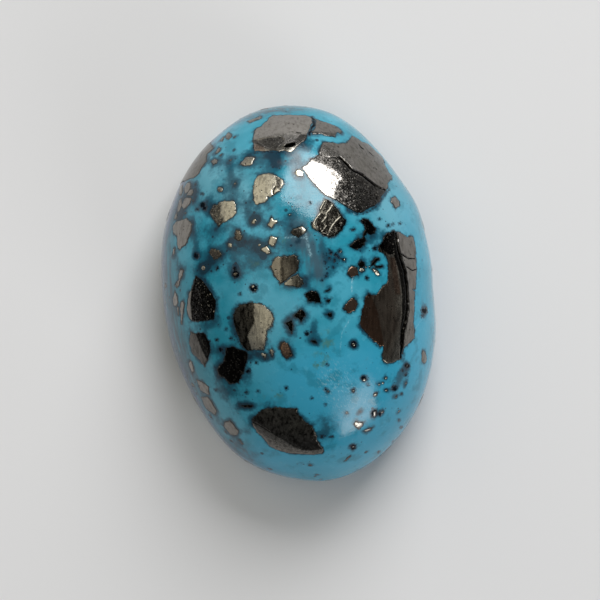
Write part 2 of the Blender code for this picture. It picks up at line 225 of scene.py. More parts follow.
# %% Outlines of the large crystals
CRYSTALS = {  # x and y in mm
    "crown": (
        (-1.58, 9.72), (-1.6, 10.05), (-1.56, 10.48), (-1.39, 11.05), (-1.2, 11.25), (-0.95, 11.29),
        (-0.47, 11.62), (-0.3, 11.79), (0.0, 11.9), (0.83, 11.83), (1.7, 11.68), (2.09, 11.62),
        (2.35, 11.47), (2.5, 11.31), (2.48, 11.05), (2.31, 10.83), (2.22, 10.57), (2.07, 10.4),
        (1.98, 10.1), (1.79, 9.92), (1.27, 9.62), (1.13, 9.49), (0.83, 9.31), (0.61, 9.33),
        (0.4, 9.49), (0.09, 9.47), (-0.6, 9.62), (-1.3, 9.68),
    ),
    "crown_side": (
        (2.53, 11.35), (2.79, 11.23), (3.1, 11.05), (3.36, 10.96), (3.97, 10.62), (4.32, 10.27),
        (4.23, 10.1), (4.03, 10.2), (3.8, 9.93), (3.32, 10.05), (2.96, 10.23), (2.37, 10.31),
        (2.34, 10.49), (2.53, 10.57), (2.66, 10.75), (2.74, 11.14),
    ),
    "shoulder": (
        (1.31, 8.27), (1.7, 8.38), (1.87, 8.57), (2.05, 8.7), (2.35, 8.75), (2.53, 8.92),
        (2.74, 9.18), (2.83, 9.44), (3.0, 9.66), (3.36, 9.62), (3.97, 9.44), (4.53, 9.4),
        (4.67, 9.57), (4.97, 9.83), (5.36, 9.53), (5.62, 9.27), (5.88, 9.18), (6.32, 8.66),
        (6.75, 8.14), (6.8, 7.68), (6.97, 7.12), (7.17, 6.86), (7.14, 6.6), (6.97, 6.55),
        (6.8, 6.38), (6.8, 6.07), (6.32, 5.6), (6.14, 5.33), (5.71, 4.99), (5.36, 4.9),
        (4.84, 4.68), (4.53, 4.73), (4.06, 5.03), (3.32, 5.73), (3.05, 5.86), (2.53, 6.25),
        (2.05, 6.94), (1.61, 7.6), (1.48, 7.97),
    ),
    "flank": (
        (6.25, 3.15), (6.7, 3.2), (7.15, 3.1), (7.35, 2.95), (7.55, 2.7), (8.0, 2.65), (8.02, 2.0),
        (7.95, 1.2), (7.85, 0.4), (7.75, -0.2), (7.7, -0.5), (7.6, -0.75), (7.4, -0.82), (7.55, -0.92),
        (7.45, -1.5), (7.35, -2.1), (7.15, -2.9), (7.15, -3.6), (7.1, -3.95), (6.7, -4.25),
        (6.35, -4.5), (6.2, -4.7), (6.05, -5.2), (5.7, -5.3), (5.3, -5.4), (4.85, -5.25),
        (4.8, -5.1), (4.9, -4.5), (4.95, -4.25), (4.75, -4.15), (4.4, -3.75), (3.95, -3.2),
        (3.75, -2.9), (3.68, -2.6), (3.8, -2.0), (4.05, -1.4), (4.25, -0.9), (4.5, -0.62),
        (4.75, -0.75), (5.0, -0.8), (5.3, -0.5), (5.75, -0.15), (5.9, 0.1), (6.05, 0.8),
        (6.08, 1.5), (5.85, 1.85), (5.65, 1.95), (5.55, 2.1), (5.6, 2.35), (5.95, 2.7), (6.1, 2.95),
    ),
    "leaf": (
        (-4.3, -7.75), (-3.9, -7.45), (-3.3, -7.15), (-2.6, -7.15), (-2.0, -7.3), (-1.2, -7.4),
        (-1.25, -7.7), (-1.0, -8.2), (-0.75, -8.4), (-0.5, -8.7), (-0.35, -9.0), (-0.2, -9.7),
        (0.05, -10.3), (0.1, -10.45), (0.0, -10.6), (-0.7, -10.6), (-1.5, -10.4), (-2.3, -10.25),
        (-2.9, -10.0), (-3.4, -9.6), (-3.8, -8.9), (-4.1, -8.6), (-4.3, -8.0),
    ),
    "ridged": (
        (1.5, 4.5), (1.8, 4.85), (2.0, 5.1), (2.3, 5.65), (2.55, 5.95), (2.8, 5.85), (3.1, 5.45),
        (3.3, 5.2), (3.45, 4.85), (3.75, 4.35), (3.7, 4.15), (3.4, 3.8), (3.0, 3.5), (2.5, 3.38),
        (2.1, 3.65), (1.7, 3.95), (1.5, 4.2),
    ),
    "star": (
        (-1.7, 8.0), (-1.5, 8.15), (-0.75, 8.15), (-0.3, 7.9), (0.05, 7.55), (0.0, 7.3),
        (-0.25, 6.85), (-0.5, 6.8), (-0.8, 6.65), (-1.0, 6.55), (-1.1, 6.65), (-1.2, 6.45),
        (-1.4, 6.3), (-1.7, 6.25), (-1.85, 6.15), (-2.0, 6.25), (-2.1, 6.9), (-1.95, 7.5),
    ),
    "left_cream": (
        (-5.1, 6.2), (-4.75, 6.6), (-4.5, 6.6), (-4.3, 6.75), (-4.0, 6.82), (-3.4, 6.7),
        (-3.3, 6.45), (-3.35, 5.85), (-3.6, 5.65), (-4.1, 5.42), (-4.3, 5.4), (-4.5, 5.2),
        (-4.65, 5.15), (-4.75, 5.45), (-4.95, 5.75),
    ),
    "centre": (
        (-1.65, 2.05), (-1.4, 2.3), (-1.2, 2.62), (-0.4, 2.62), (0.0, 2.65), (0.2, 2.5), (0.3, 2.0),
        (0.1, 1.5), (-0.5, 1.1), (-1.1, 0.85), (-1.35, 1.2), (-1.45, 1.5),
    ),
    "centre_low": (
        (-0.95, 0.85), (-0.4, 1.15), (0.05, 1.3), (0.25, 1.1), (0.4, 0.85), (0.35, 0.6), (0.0, 0.35),
        (-0.4, 0.55), (-0.8, 0.7),
    ),
    "two_tone": (
        (-4.0, -0.15), (-3.1, -0.1), (-2.75, -0.2), (-2.4, -0.4), (-2.0, -0.85), (-1.85, -1.4),
        (-2.1, -1.85), (-2.45, -2.05), (-2.5, -2.4), (-2.85, -3.3), (-3.35, -3.2), (-3.9, -3.2),
        (-4.2, -2.9), (-4.45, -2.0), (-4.55, -1.2), (-4.5, -0.8), (-4.3, -0.4),
    ),
    "left_dark": (
        (-6.55, 2.2), (-6.2, 1.85), (-5.8, 1.1), (-5.5, 0.4), (-5.55, 0.0), (-5.8, -0.85),
        (-6.4, -0.85), (-7.0, -0.85), (-7.4, -0.55), (-7.5, -0.1), (-7.3, 0.8), (-7.0, 1.4),
    ),
    "lower_left": (
        (-7.45, -1.5), (-6.6, -1.6), (-6.3, -2.3), (-6.35, -3.0), (-6.65, -3.5), (-6.85, -3.85),
        (-7.15, -3.3), (-7.5, -2.9), (-7.65, -2.2),
    ),
    "left_rim": (
        (-7.6, 5.65), (-7.35, 5.9), (-6.65, 6.0), (-6.33, 5.6), (-6.45, 5.1), (-6.85, 4.4),
        (-7.35, 4.02), (-7.5, 4.15), (-7.42, 4.9), (-7.65, 5.2),
    ),
    "left_low": (
        (-7.55, -4.6), (-7.1, -4.85), (-6.8, -5.2), (-6.85, -5.75), (-7.35, -5.35), (-7.45, -5.0),
    ),
    "left_lower": (
        (-7.4, -5.8), (-6.95, -5.85), (-6.7, -6.3), (-6.5, -6.85), (-6.65, -7.1), (-7.2, -6.55),
    ),
    "half_lit": (
        (0.0, 4.0), (0.2, 4.3), (0.85, 4.4), (1.05, 4.15), (1.0, 3.95), (0.5, 3.65), (0.2, 3.8),
    ),
    "rim_band": (
        (-4.19, 10.36), (-4.48, 10.14), (-4.69, 10.03), (-4.79, 9.55), (-5.04, 9.33), (-5.27, 9.07),
        (-5.42, 8.8), (-5.74, 8.61), (-6.09, 8.56), (-6.43, 8.49), (-6.9, 8.5), (-6.98, 8.7),
        (-6.83, 8.95), (-6.58, 9.1), (-6.42, 9.46), (-6.1, 9.62), (-5.92, 9.97), (-5.58, 10.15),
        (-5.38, 10.52), (-5.0, 10.64), (-4.8, 10.92), (-4.5, 10.88), (-4.35, 10.7),
    ),
    "lower_lens": (
        (-6.1, -7.65), (-5.7, -7.6), (-5.28, -8.3), (-5.35, -8.6), (-5.8, -8.55), (-6.2, -7.9),
    ),
}
print(len(CRYSTALS), "large crystals")

# %% Outlines of the small grains
GRAINS = (
    ((-2.65, 9.0), (-2.2, 9.45), (-1.75, 9.4), (-1.6, 9.3), (-1.9, 8.85), (-2.4, 8.85)),
    ((-2.5, 5.05), (-2.35, 5.25), (-2.15, 5.35), (-2.1, 5.2), (-2.2, 5.0), (-2.4, 4.98)),
    ((-1.45, 4.75), (-1.3, 4.95), (-1.1, 5.3), (-1.0, 5.1), (-0.75, 5.0), (-0.75, 4.85), (-0.95, 4.75),
     (-1.05, 4.6), (-1.2, 4.55)),
    ((-1.55, 3.55), (-1.35, 4.05), (-1.1, 3.95), (-0.9, 3.85), (-0.95, 3.6), (-1.2, 3.3)),
    ((-2.1, 3.2), (-2.0, 3.35), (-1.65, 3.45), (-1.55, 3.2), (-1.45, 2.9), (-1.75, 2.9)),
    ((-4.4, 7.55), (-4.25, 7.75), (-4.0, 7.65), (-4.0, 7.4), (-4.2, 7.35)),
    ((-3.15, -3.45), (-2.85, -3.55), (-2.7, -3.6), (-2.75, -3.85), (-2.85, -3.9)),
    ((-2.5, -3.35), (-2.3, -3.3), (-2.2, -3.5), (-2.25, -3.75), (-2.35, -3.8)),
    ((-4.5, 9.48), (-4.25, 9.66), (-4.05, 9.52), (-4.16, 9.31), (-4.39, 9.25)),
    ((-4.12, 10.05), (-3.9, 10.32), (-3.72, 10.29), (-3.82, 10.08), (-4.07, 9.93)),
    ((-3.3, 10.83), (-3.31, 11.05), (-3.09, 11.24), (-2.93, 11.11), (-2.92, 10.92), (-3.13, 10.76)),
    ((-3.72, 10.78), (-3.46, 11.03), (-3.4, 10.95), (-3.55, 10.68)),
    ((6.9, 5.4), (7.2, 5.45), (7.4, 5.1), (7.38, 4.8), (7.1, 4.65), (6.87, 5.1)),
    ((7.35, -5.6), (7.45, -5.0), (7.55, -4.85), (7.7, -5.1), (7.7, -5.5), (7.55, -5.75)),
    ((0.83, 7.95), (0.95, 8.12), (1.2, 8.12), (1.38, 8.02), (1.45, 7.85), (1.35, 7.6), (0.93, 7.7)),
    ((4.95, 0.95), (5.1, 0.95), (5.3, 0.75), (5.45, 0.55), (5.35, 0.4), (5.15, 0.5)),
    ((4.05, 0.95), (4.2, 1.1), (4.45, 1.05), (4.5, 0.95), (4.35, 0.85), (4.15, 0.85)),
    ((2.3, -9.0), (2.45, -8.8), (2.6, -8.9), (2.95, -9.0), (2.9, -9.2), (2.6, -9.4), (2.4, -9.25)),
    ((2.9, -9.55), (3.1, -9.45), (3.5, -9.4), (3.35, -9.55), (3.05, -9.65)),
    ((3.65, -8.7), (3.7, -8.35), (3.9, -8.3), (3.9, -8.5), (3.8, -8.75)),
    ((-1.75, 11.8), (-1.3, 11.9), (-0.8, 12.0), (-0.75, 11.85), (-1.6, 11.65)),
    ((-7.9, 3.76), (-7.81, 4.16), (-7.69, 4.18), (-7.75, 3.81)),
    ((-7.68, 2.47), (-7.53, 2.74), (-7.32, 2.67), (-7.41, 2.32), (-7.63, 2.05), (-7.76, 1.7),
     (-7.97, 1.54), (-8.04, 1.81), (-7.74, 2.07)),
    ((-8.1, 1.38), (-7.97, 0.98), (-7.99, 0.62), (-8.14, 0.38), (-8.31, 0.44), (-8.31, 0.81)),
    ((-8.11, 0.33), (-7.97, 0.24), (-8.07, -0.27), (-8.13, -0.18)),
    ((-7.81, 0.59), (-7.62, 0.64), (-7.58, 0.41), (-7.78, -0.23), (-7.95, -0.88), (-8.01, -0.79),
     (-7.94, -0.28), (-7.94, 0.09)),
    ((-7.9, -3.5), (-7.75, -3.3), (-7.65, -3.4), (-7.6, -4.05), (-7.75, -4.15)),
    ((-6.5, 8.06), (-6.27, 8.32), (-6.05, 8.33), (-6.06, 7.99), (-6.29, 7.69), (-6.52, 7.65)),
    ((-6.45, 7.5), (-6.15, 7.89), (-5.93, 7.86), (-5.93, 7.64), (-6.1, 7.46)),
    ((-6.71, 7.12), (-6.6, 7.33), (-6.4, 7.38), (-6.16, 7.32), (-6.14, 7.19), (-6.29, 6.91),
     (-6.51, 6.72), (-6.74, 6.64), (-6.86, 6.85)),
    ((-7.12, 6.81), (-6.94, 7.3), (-6.78, 7.36), (-6.8, 6.91), (-7.01, 6.57), (-7.21, 6.45)),
    ((-7.48, 6.1), (-7.28, 6.44), (-7.16, 6.39), (-7.3, 6.05)),
    ((-6.9, 7.75), (-6.75, 8.2), (-6.6, 8.25), (-6.65, 7.8), (-6.8, 7.55)),
    ((-5.35, -8.95), (-5.25, -8.98), (-5.05, -9.32), (-5.15, -9.3)),
    ((1.35, -11.32), (1.8, -11.02), (1.82, -11.08), (1.4, -11.36)),
)
DARK_GRAINS = (
    ((4.65, 4.2), (4.85, 4.32), (5.15, 4.25), (5.35, 4.0), (5.62, 3.5), (5.5, 3.2), (5.2, 3.15),
     (4.98, 3.35), (4.85, 3.15), (4.62, 2.98), (4.75, 3.4), (4.9, 3.6), (4.85, 3.9)),
    ((3.7, 2.6), (3.9, 2.8), (4.1, 2.95), (4.6, 3.05), (4.8, 3.2), (4.85, 2.9), (4.75, 2.65),
     (4.5, 2.4), (4.2, 2.35), (3.95, 2.4)),
    ((4.05, 1.3), (4.15, 1.5), (4.35, 1.6), (4.5, 1.45), (4.55, 1.2), (4.3, 1.12)),
    ((4.9, 1.1), (5.0, 1.35), (5.3, 1.65), (5.65, 1.55), (5.4, 1.4), (5.2, 1.2)),
    ((5.2, 1.1), (5.7, 1.05), (5.7, 0.95), (5.25, 0.98)),
    ((0.35, -0.1), (0.5, 0.0), (0.8, 0.1), (1.15, 0.0), (1.35, -0.5), (1.3, -0.75), (0.55, -0.55)),
    ((1.7, -0.1), (1.85, 0.0), (2.1, 0.05), (1.85, -0.13)),
    ((1.7, -0.75), (1.8, -0.65), (2.1, -0.6), (1.85, -0.8)),
    ((-0.55, -1.4), (-0.4, -1.2), (-0.15, -1.05), (0.05, -1.05), (0.2, -1.25), (0.15, -1.5),
     (-0.15, -1.85), (-0.3, -1.6)),
    ((-1.2, -1.75), (-0.75, -1.6), (-0.7, -1.9), (-0.85, -2.5), (-1.05, -2.0)),
    ((1.55, -1.6), (1.7, -1.5), (1.9, -1.5), (1.95, -1.7), (1.85, -1.85), (1.7, -1.75)),
    ((0.2, -3.2), (0.6, -3.1), (0.7, -3.4), (0.4, -3.3)),
    ((-5.3, -2.8), (-4.8, -2.8), (-4.5, -3.0), (-4.0, -3.2), (-3.9, -3.4), (-4.1, -4.0), (-4.4, -4.6),
     (-4.8, -5.2), (-5.4, -5.2), (-5.7, -4.75), (-6.0, -4.6), (-6.1, -4.1), (-5.6, -3.7), (-5.4, -3.2)),
    ((-4.9, -6.75), (-4.5, -6.7), (-4.1, -6.82), (-4.15, -6.92), (-4.6, -6.9)),
)
RUSTY_GRAINS = (
    ((-1.8, -3.3), (-1.65, -3.05), (-1.45, -2.95), (-1.2, -3.1), (-1.05, -3.7), (-1.05, -3.9),
     (-1.45, -4.15), (-1.7, -3.75)),
    ((2.75, -1.4), (2.85, -1.15), (3.3, -0.8), (3.5, -0.75), (3.73, -1.2), (3.5, -1.6), (3.0, -1.75)),
    ((3.3, 0.9), (3.4, 1.15), (3.65, 1.3), (4.0, 1.2), (4.05, 0.95), (4.0, 0.65), (3.5, 0.6)),
)
OLIVE_GRAINS = (
    ((-5.5, 3.6), (-5.3, 3.8), (-4.8, 3.6), (-4.65, 3.35), (-5.0, 3.0), (-5.25, 3.05)),
    ((-3.7, 4.2), (-3.6, 4.6), (-3.5, 4.8), (-3.3, 4.7), (-3.15, 4.2), (-3.4, 3.95)),
    ((-4.1, 1.98), (-3.9, 2.05), (-3.8, 1.85), (-3.95, 1.72), (-4.1, 1.8)),
)
ROUND_GRAINS = (
    (-2.15, 3.55, 0.12), (-4.05, 3.8, 0.2), (-6.0, 2.6, 0.22), (-3.2, 9.37, 0.1), (-3.15, 7.8, 0.1),
    (-5.75, 8.15, 0.08), (-6.05, 7.1, 0.08), (-6.67, 6.37, 0.09), (-3.79, 9.83, 0.1),
    (-2.73, 10.87, 0.08), (8.15, -2.15, 0.12), (6.35, -5.7, 0.12), (3.05, -3.8, 0.14),
    (-2.95, 0.9, 0.12), (-2.85, 0.7, 0.08), (0.95, -6.6, 0.07), (2.6, -6.8, 0.09), (3.4, -6.2, 0.14),
    (4.85, -6.3, 0.12), (4.35, -6.65, 0.1), (4.6, -6.6, 0.1), (4.75, -7.1, 0.12), (5.35, -7.65, 0.1),
    (4.0, -7.25, 0.16), (6.1, -6.85, 0.1), (4.28, -8.5, 0.14), (2.05, -10.5, 0.14),
    (2.85, -10.95, 0.07), (5.4, -8.6, 0.13), (1.97, -8.2, 0.09), (2.83, -8.25, 0.06),
    (4.6, 1.1, 0.06), (4.85, 1.1, 0.06), (-0.9, -11.3, 0.1), (-0.6, -12.0, 0.1), (0.12, 5.25, 0.07),
    (3.12, 2.38, 0.07), (3.27, 1.78, 0.07), (-5.9, -4.0, 0.1),
)  # x, y and radius
DARK_SPOTS = (
    (-6.35, 3.45, 0.22), (-5.45, 6.72, 0.2), (-5.35, 6.5, 0.17), (-5.4, 7.45, 0.1), (-5.85, 6.5, 0.1),
    (-5.1, 2.45, 0.12), (-3.95, 2.3, 0.12), (-5.1, -1.6, 0.08), (-5.8, -2.2, 0.09),
    (-4.85, -2.25, 0.1), (-3.85, 0.55, 0.09), (-5.65, -2.85, 0.15), (-4.05, -4.55, 0.15),
    (-3.45, -4.05, 0.1), (-4.35, -5.9, 0.1), (-3.6, -5.95, 0.08), (-6.35, -5.45, 0.08),
    (-1.75, -6.0, 0.1), (1.15, -4.88, 0.08), (0.1, -2.65, 0.15), (4.55, 0.4, 0.12), (4.0, 3.68, 0.09),
    (4.2, 3.7, 0.08), (5.35, 2.25, 0.15), (5.95, 4.12, 0.07), (6.45, 3.6, 0.1), (6.75, 3.65, 0.07),
    (7.25, 3.65, 0.06), (1.57, 5.82, 0.09), (2.45, 2.37, 0.12), (2.77, 2.2, 0.13), (2.9, 1.95, 0.12),
    (2.3, 2.05, 0.1), (2.6, 1.84, 0.11), (1.9, 0.88, 0.1), (1.6, 0.7, 0.07), (2.48, 1.41, 0.08),
    (1.98, 1.82, 0.08), (2.38, 2.6, 0.08), (3.0, 2.4, 0.13), (3.22, 1.8, 0.13), (7.85, -2.6, 0.1),
    (0.82, -6.45, 0.1), (-0.2, -6.9, 0.07), (0.65, -7.45, 0.07), (5.3, -7.05, 0.2), (5.7, -7.5, 0.08),
    (4.1, -8.6, 0.14), (0.1, -9.5, 0.12), (0.8, -9.6, 0.07), (5.3, -9.2, 0.08), (5.4, -9.7, 0.07),
    (4.75, -10.55, 0.07), (3.7, -11.1, 0.07), (-6.35, -2.25, 0.08), (3.6, -6.55, 0.07),
    (6.2, -6.3, 0.1), (6.0, -5.95, 0.09),
)
RINGED = (
    (-3.95, 1.88, 0.26), (3.05, -3.8, 0.24), (6.35, -5.7, 0.18), (3.75, -8.5, 0.24), (2.05, -10.5, 0.2),
    (-2.9, 0.82, 0.26), (2.6, -6.8, 0.14), (3.4, -6.1, 0.2), (8.0, -2.3, 0.22),
)  # small grains that sit in a dark ring
print(len(GRAINS) + len(DARK_GRAINS) + len(RUSTY_GRAINS) + len(ROUND_GRAINS), "small grains")


# %% Distances to outlines and lines
def segments_distance(px, py, points, closed):
    """Distance in mm from places to a chain of segments, and which places it encloses."""
    chain = np.array(points, float)
    ends = np.roll(chain, -1, axis=0)
    if not closed:
        chain, ends = chain[:-1], ends[:-1]
    best = np.full(px.shape, np.inf)
    inside = np.zeros(px.shape, bool)
    for (x0, y0), (x1, y1) in zip(chain, ends):
        dx, dy = x1 - x0, y1 - y0
        share = np.clip(((px - x0) * dx + (py - y0) * dy) / (dx * dx + dy * dy), 0, 1)
        best = np.minimum(best, np.hypot(px - x0 - share * dx, py - y0 - share * dy))
        if y0 != y1:
            crossed = (y0 > py) != (y1 > py)
            inside ^= crossed & (px < x0 + (py - y0) * dx / dy)
    return best, inside


def inward(px, py, outline):
    """Distance in mm from an outline: above zero inside it, below zero outside."""
    best, inside = segments_distance(px, py, outline, closed=True)
    return np.where(inside, best, -best)


def along(px, py, line):
    """Distance in mm from an open line."""
    return segments_distance(px, py, line, closed=False)[0]


middle = np.array([-2.0]), np.array([-9.0])
inside_leaf = float(inward(*middle, CRYSTALS["leaf"])[0])
print("the middle of the leaf crystal is", round(inside_leaf, 2), "mm inside its outline")


# %% [markdown]
# ## A flat map of the dome
#
# Seen from above, the flanks are foreshortened and what lies under the girdle is hidden. So the
# crystals are drawn on a flat map instead, where the distance from the middle is the angle down
# from the top, as on a map of the Earth round its pole. Near the middle a millimetre on the map
# is a millimetre on the stone, and the map goes on past the girdle.


# %% From plan to map and back to the stone
def to_map(x, y):
    """Places in plan, on the map. Past the outline, a share of 0.1 more is 0.1 rad further down."""
    wide = stretch(x, y)
    a, b = 2 * x / WIDTH / wide, 2 * y / LENGTH / wide
    share = np.maximum(np.hypot(a, b), 1e-9)
    down = np.where(share < 1, np.arcsin(np.minimum(share, 1)), math.pi / 2 + share - 1)
    return a / share * down * WIDTH / 2, b / share * down * LENGTH / 2


def map_direction(u, v):
    """Unit directions of places on the map."""
    a, b = 2 * u / WIDTH, 2 * v / LENGTH
    down = np.maximum(np.hypot(a, b), 1e-9)
    return np.stack([np.sin(down) * a / down, np.sin(down) * b / down, np.cos(down)], axis=1)


def outward(direction):
    """The way straight out of the stone's skin, for unit directions from its centre."""
    high = np.where(direction[:, 2] > 0, DOME_HEIGHT, UNDER_HEIGHT)
    way = direction / np.stack([0 * high + WIDTH / 2, 0 * high + LENGTH / 2, high], axis=1)
    return way / np.linalg.norm(way, axis=1)[:, None]


def on_stone(u, v, lift):
    """Places of the map set on the stone's skin and lifted off it, in mm."""
    direction = map_direction(u, v)
    return skin(direction) + outward(direction) * np.asarray(lift)[:, None]


def map_outline(outline):
    """An outline in plan, on the map."""
    u, v = to_map(*np.array(outline, float).T)
    return list(zip(u.tolist(), v.tolist()))


def ragged(outline, step, rough, rng):
    """Breaks the straight sides of an outline into short steps that wander a little."""
    points = []
    for (x0, y0), (x1, y1) in zip(outline, outline[1:] + outline[:1]):
        long = math.hypot(x1 - x0, y1 - y0)
        count = max(1, round(long / step))
        for i in range(count):
            off = rng.uniform(-rough, rough)
            share = (i + rng.uniform(-0.25, 0.25) * (i > 0)) / count
            points.append(
                (
                    x0 + (x1 - x0) * share - (y1 - y0) / long * off,
                    y0 + (y1 - y0) * share + (x1 - x0) / long * off,
                )
            )
    return points


def lump(x, y, radius, rng, corners=9, long=1.0):
    """A rough round outline on the map, or a long one, turned at random."""
    turned = rng.uniform(0, math.pi)
    points = []
    for i in range(corners):
        angle = 2 * math.pi * i / corners
        r = radius * rng.uniform(0.72, 1.15)
        a, b = r * math.cos(angle) * long, r * math.sin(angle)
        points.append(
            (
                x + a * math.cos(turned) - b * math.sin(turned),
                y + a * math.sin(turned) + b * math.cos(turned),
            )
        )
    return points


# A broken edge wanders twice: in bays first, then in crumbs. Each is a step and a reach, in mm.
BAYS = (0.34, 0.045)
CRUMBS = (0.09, 0.028)
GRAIN_STEP = 0.08
rng = random.Random(12)
LARGE = {}
for name, outline in CRYSTALS.items():
    LARGE[name] = ragged(ragged(map_outline(outline), *BAYS, rng), *CRUMBS, rng)
BRIGHT = [ragged(map_outline(o), GRAIN_STEP, 0.03, rng) for o in GRAINS]
for x, y, radius in ROUND_GRAINS:
    u, v = to_map(np.float64(x), np.float64(y))
    BRIGHT.append(lump(float(u), float(v), radius, rng))
DARK = [ragged(map_outline(o), GRAIN_STEP, 0.03, rng) for o in DARK_GRAINS]
RUSTY = [ragged(map_outline(o), GRAIN_STEP, 0.025, rng) for o in RUSTY_GRAINS]
OLIVE = [ragged(map_outline(o), GRAIN_STEP, 0.035, rng) for o in OLIVE_GRAINS]
print("widest reach of the map, mm:", round(max(u for o in BRIGHT for u, v in o), 2))

# %% [markdown]
# ## Grains on the hidden flanks
#
# The same rock goes on round the girdle and under the heel. There the grains are scattered by a
# seeded draw: a few large ones, many small ones, and none across another. The left flank is
# the richer side, as the crystals crowd together there up to the rim.

# %% Scattered flank grains
FLANK_GRAINS = 200
MOST_TRIES = 6000
BAND = (1.22, 2.12)  # from this angle below the top to this one, in radians
SEEN_ABOVE = 1.5  # higher up than this the drawn grains lie, so few and small ones join them
SMALL_RADIUS = 0.22  # mm
FLANK_EDGE = (0.14, 0.02)  # step and reach of the broken edge, in mm
flank_rng = random.Random(5)
taken = [np.array(o) for o in [*LARGE.values(), *BRIGHT, *DARK, *RUSTY, *OLIVE]]
FLANK = []
tries = 0
while len(FLANK) < FLANK_GRAINS and tries < MOST_TRIES:
    tries += 1
    angle = flank_rng.uniform(-math.pi, math.pi)
    down = flank_rng.uniform(*BAND)
    radius = 0.07 + 0.75 * flank_rng.random() ** 4
    left_share = 0.5 - 0.5 * math.cos(angle)
    if down < SEEN_ABOVE and (flank_rng.random() > left_share**3 or radius > SMALL_RADIUS):
        continue
    u = math.cos(angle) * down * WIDTH / 2
    v = math.sin(angle) * down * LENGTH / 2
    clear = min(np.hypot(*(o - (u, v)).T).min() for o in taken)
    if clear < radius * 1.9 + 0.12:
        continue
    shape = lump(u, v, radius, flank_rng, long=flank_rng.uniform(1.0, 1.6))
    shape = ragged(shape, *FLANK_EDGE, flank_rng)
    taken.append(np.array(shape))
    FLANK.append(shape)
print(len(FLANK), "flank grains after", tries, "tries")

# %% Scattered grains of the back
BACK_GRAINS = 34
BACK_EDGE = (0.14, 0.03)  # step and reach of the broken edge, in mm
LEAST_GAP = 0.15  # mm between two grains
back_rng = random.Random(21)
BACK = []
middles = []
while len(BACK) < BACK_GRAINS:
    angle = back_rng.uniform(-math.pi, math.pi)
    out = BASE_SHARE * math.sqrt(back_rng.random())
    radius = 0.12 + 1.15 * back_rng.random() ** 3
    x = math.cos(angle) * out * WIDTH / 2
    y = math.sin(angle) * out * LENGTH / 2
    if out > BASE_SHARE * 0.94 - 0.13 * radius:
        continue
    if any(math.hypot(x - a, y - b) < 1.5 * (radius + r) + LEAST_GAP for a, b, r in middles):
        continue
    middles.append((x, y, radius))
    shape = lump(x, y, radius, back_rng, long=back_rng.uniform(1.0, 1.5))
    BACK.append(ragged(shape, *BACK_EDGE, back_rng))
print(len(BACK), "grains in the back")

# %% [markdown]
# ## The stone body
#
# An icosphere has even triangles all over, so it takes colour and small relief equally well on
# the crown and the flanks. It is halved again where the dome is seen best, cut flat for the
# back, and then every point is moved from the unit sphere to the stone's skin. Under each large
# crystal the skin is sunk straight in, as the turquoise really has a pocket there, so that a
# crack in the crystal doesn't show blue at the bottom. Dark spots are pits that a softer grain
# left, so they are dished a little.

# %% Sphere, refined and cut flat
FLAT_AT = -math.sqrt(1.0 - BASE_SHARE**2)
BACK_STEP = 0.022  # the flat back is cut into a grid this fine, as a share of the half width
WORN_CORNER = 0.012  # the corner round the back, as a share of the half width
FINE_ABOVE = 0.2  # the sphere is halved again above this height, as a share of its radius
body = bmesh.new()
bmesh.ops.create_icosphere(body, subdivisions=7, radius=1.0)
upper = [e for e in body.edges if all(v.co.z > FINE_ABOVE for v in e.verts)]
bmesh.ops.subdivide_edges(body, edges=upper, cuts=1, use_grid_fill=True)
bmesh.ops.triangulate(body, faces=[f for f in body.faces if len(f.verts) > 3])
for v in body.verts:
    v.co.normalize()
cut = bmesh.ops.bisect_plane(
    body,
    geom=body.verts[:] + body.edges[:] + body.faces[:],
    dist=1e-4,
    plane_co=Vector((0, 0, FLAT_AT)),
    plane_no=Vector((0, 0, -1)),
    clear_outer=True,
)
rim = [v for v in cut["geom_cut"] if isinstance(v, bmesh.types.BMVert)]
bmesh.ops.remove_doubles(body, verts=rim, dist=0.006)
rim = [e for e in body.edges if e.is_boundary]
back = bmesh.ops.contextual_create(body, geom=rim)["faces"]
bmesh.ops.inset_region(body, faces=back, thickness=WORN_CORNER, use_even_offset=True)
flat = [*back, *{e for f in back for e in f.edges}, *{v for f in back for v in f.verts}]
for across in (Vector((1, 0, 0)), Vector((0, 1, 0))):
    for line in np.arange(-BASE_SHARE + BACK_STEP, BASE_SHARE, BACK_STEP):
        cut = bmesh.ops.bisect_plane(
            body, geom=flat, dist=1e-5, plane_co=across * float(line), plane_no=across
        )
        flat = cut["geom"]
bmesh.ops.triangulate(body, faces=[f for f in body.faces if len(f.verts) > 3])
mesh = bpy.data.meshes.new("stone_body")
body.to_mesh(mesh)
body.free()
print("stone body:", len(mesh.polygons), "triangles")

# %% Points moved to the stone's skin, with pockets and pits
POCKET_DEPTH = 0.45
POCKET_EDGE = 0.12  # the pocket starts this far inside a crystal's edge
PIT_SHARE = 0.25  # a pit is this deep, as a share of its radius
OFF_MAP = 99.0
FAR = 3.0  # mm, further from a crystal than its dark line and halo reach
BACK_LIFT = 0.01  # the ground back is this far above the crystals that it rests on
co = np.zeros(len(mesh.vertices) * 3)
mesh.vertices.foreach_get("co", co)
co = co.reshape(-1, 3)
place = skin(co)
px, py = place[:, 0], place[:, 1]
down = np.arccos(np.clip(co[:, 2], -1, 1))
level = np.maximum(np.hypot(co[:, 0], co[:, 1]), 1e-9)
pu = co[:, 0] / level * down * WIDTH / 2
pv = co[:, 1] / level * down * LENGTH / 2
on_top = co[:, 2] > 0
on_back = (co[:, 2] < FLAT_AT + 1e-4) & (level < BASE_SHARE - 0.005)
pu[on_back] = OFF_MAP  # the back has grains of its own
rim_distance = np.full(len(place), FAR)  # distance to the nearest crystal edge, mm
spot = np.full(len(place), 1.0)  # below zero inside a dark spot
pocket = np.zeros(len(place))
sunk = np.zeros(len(place))


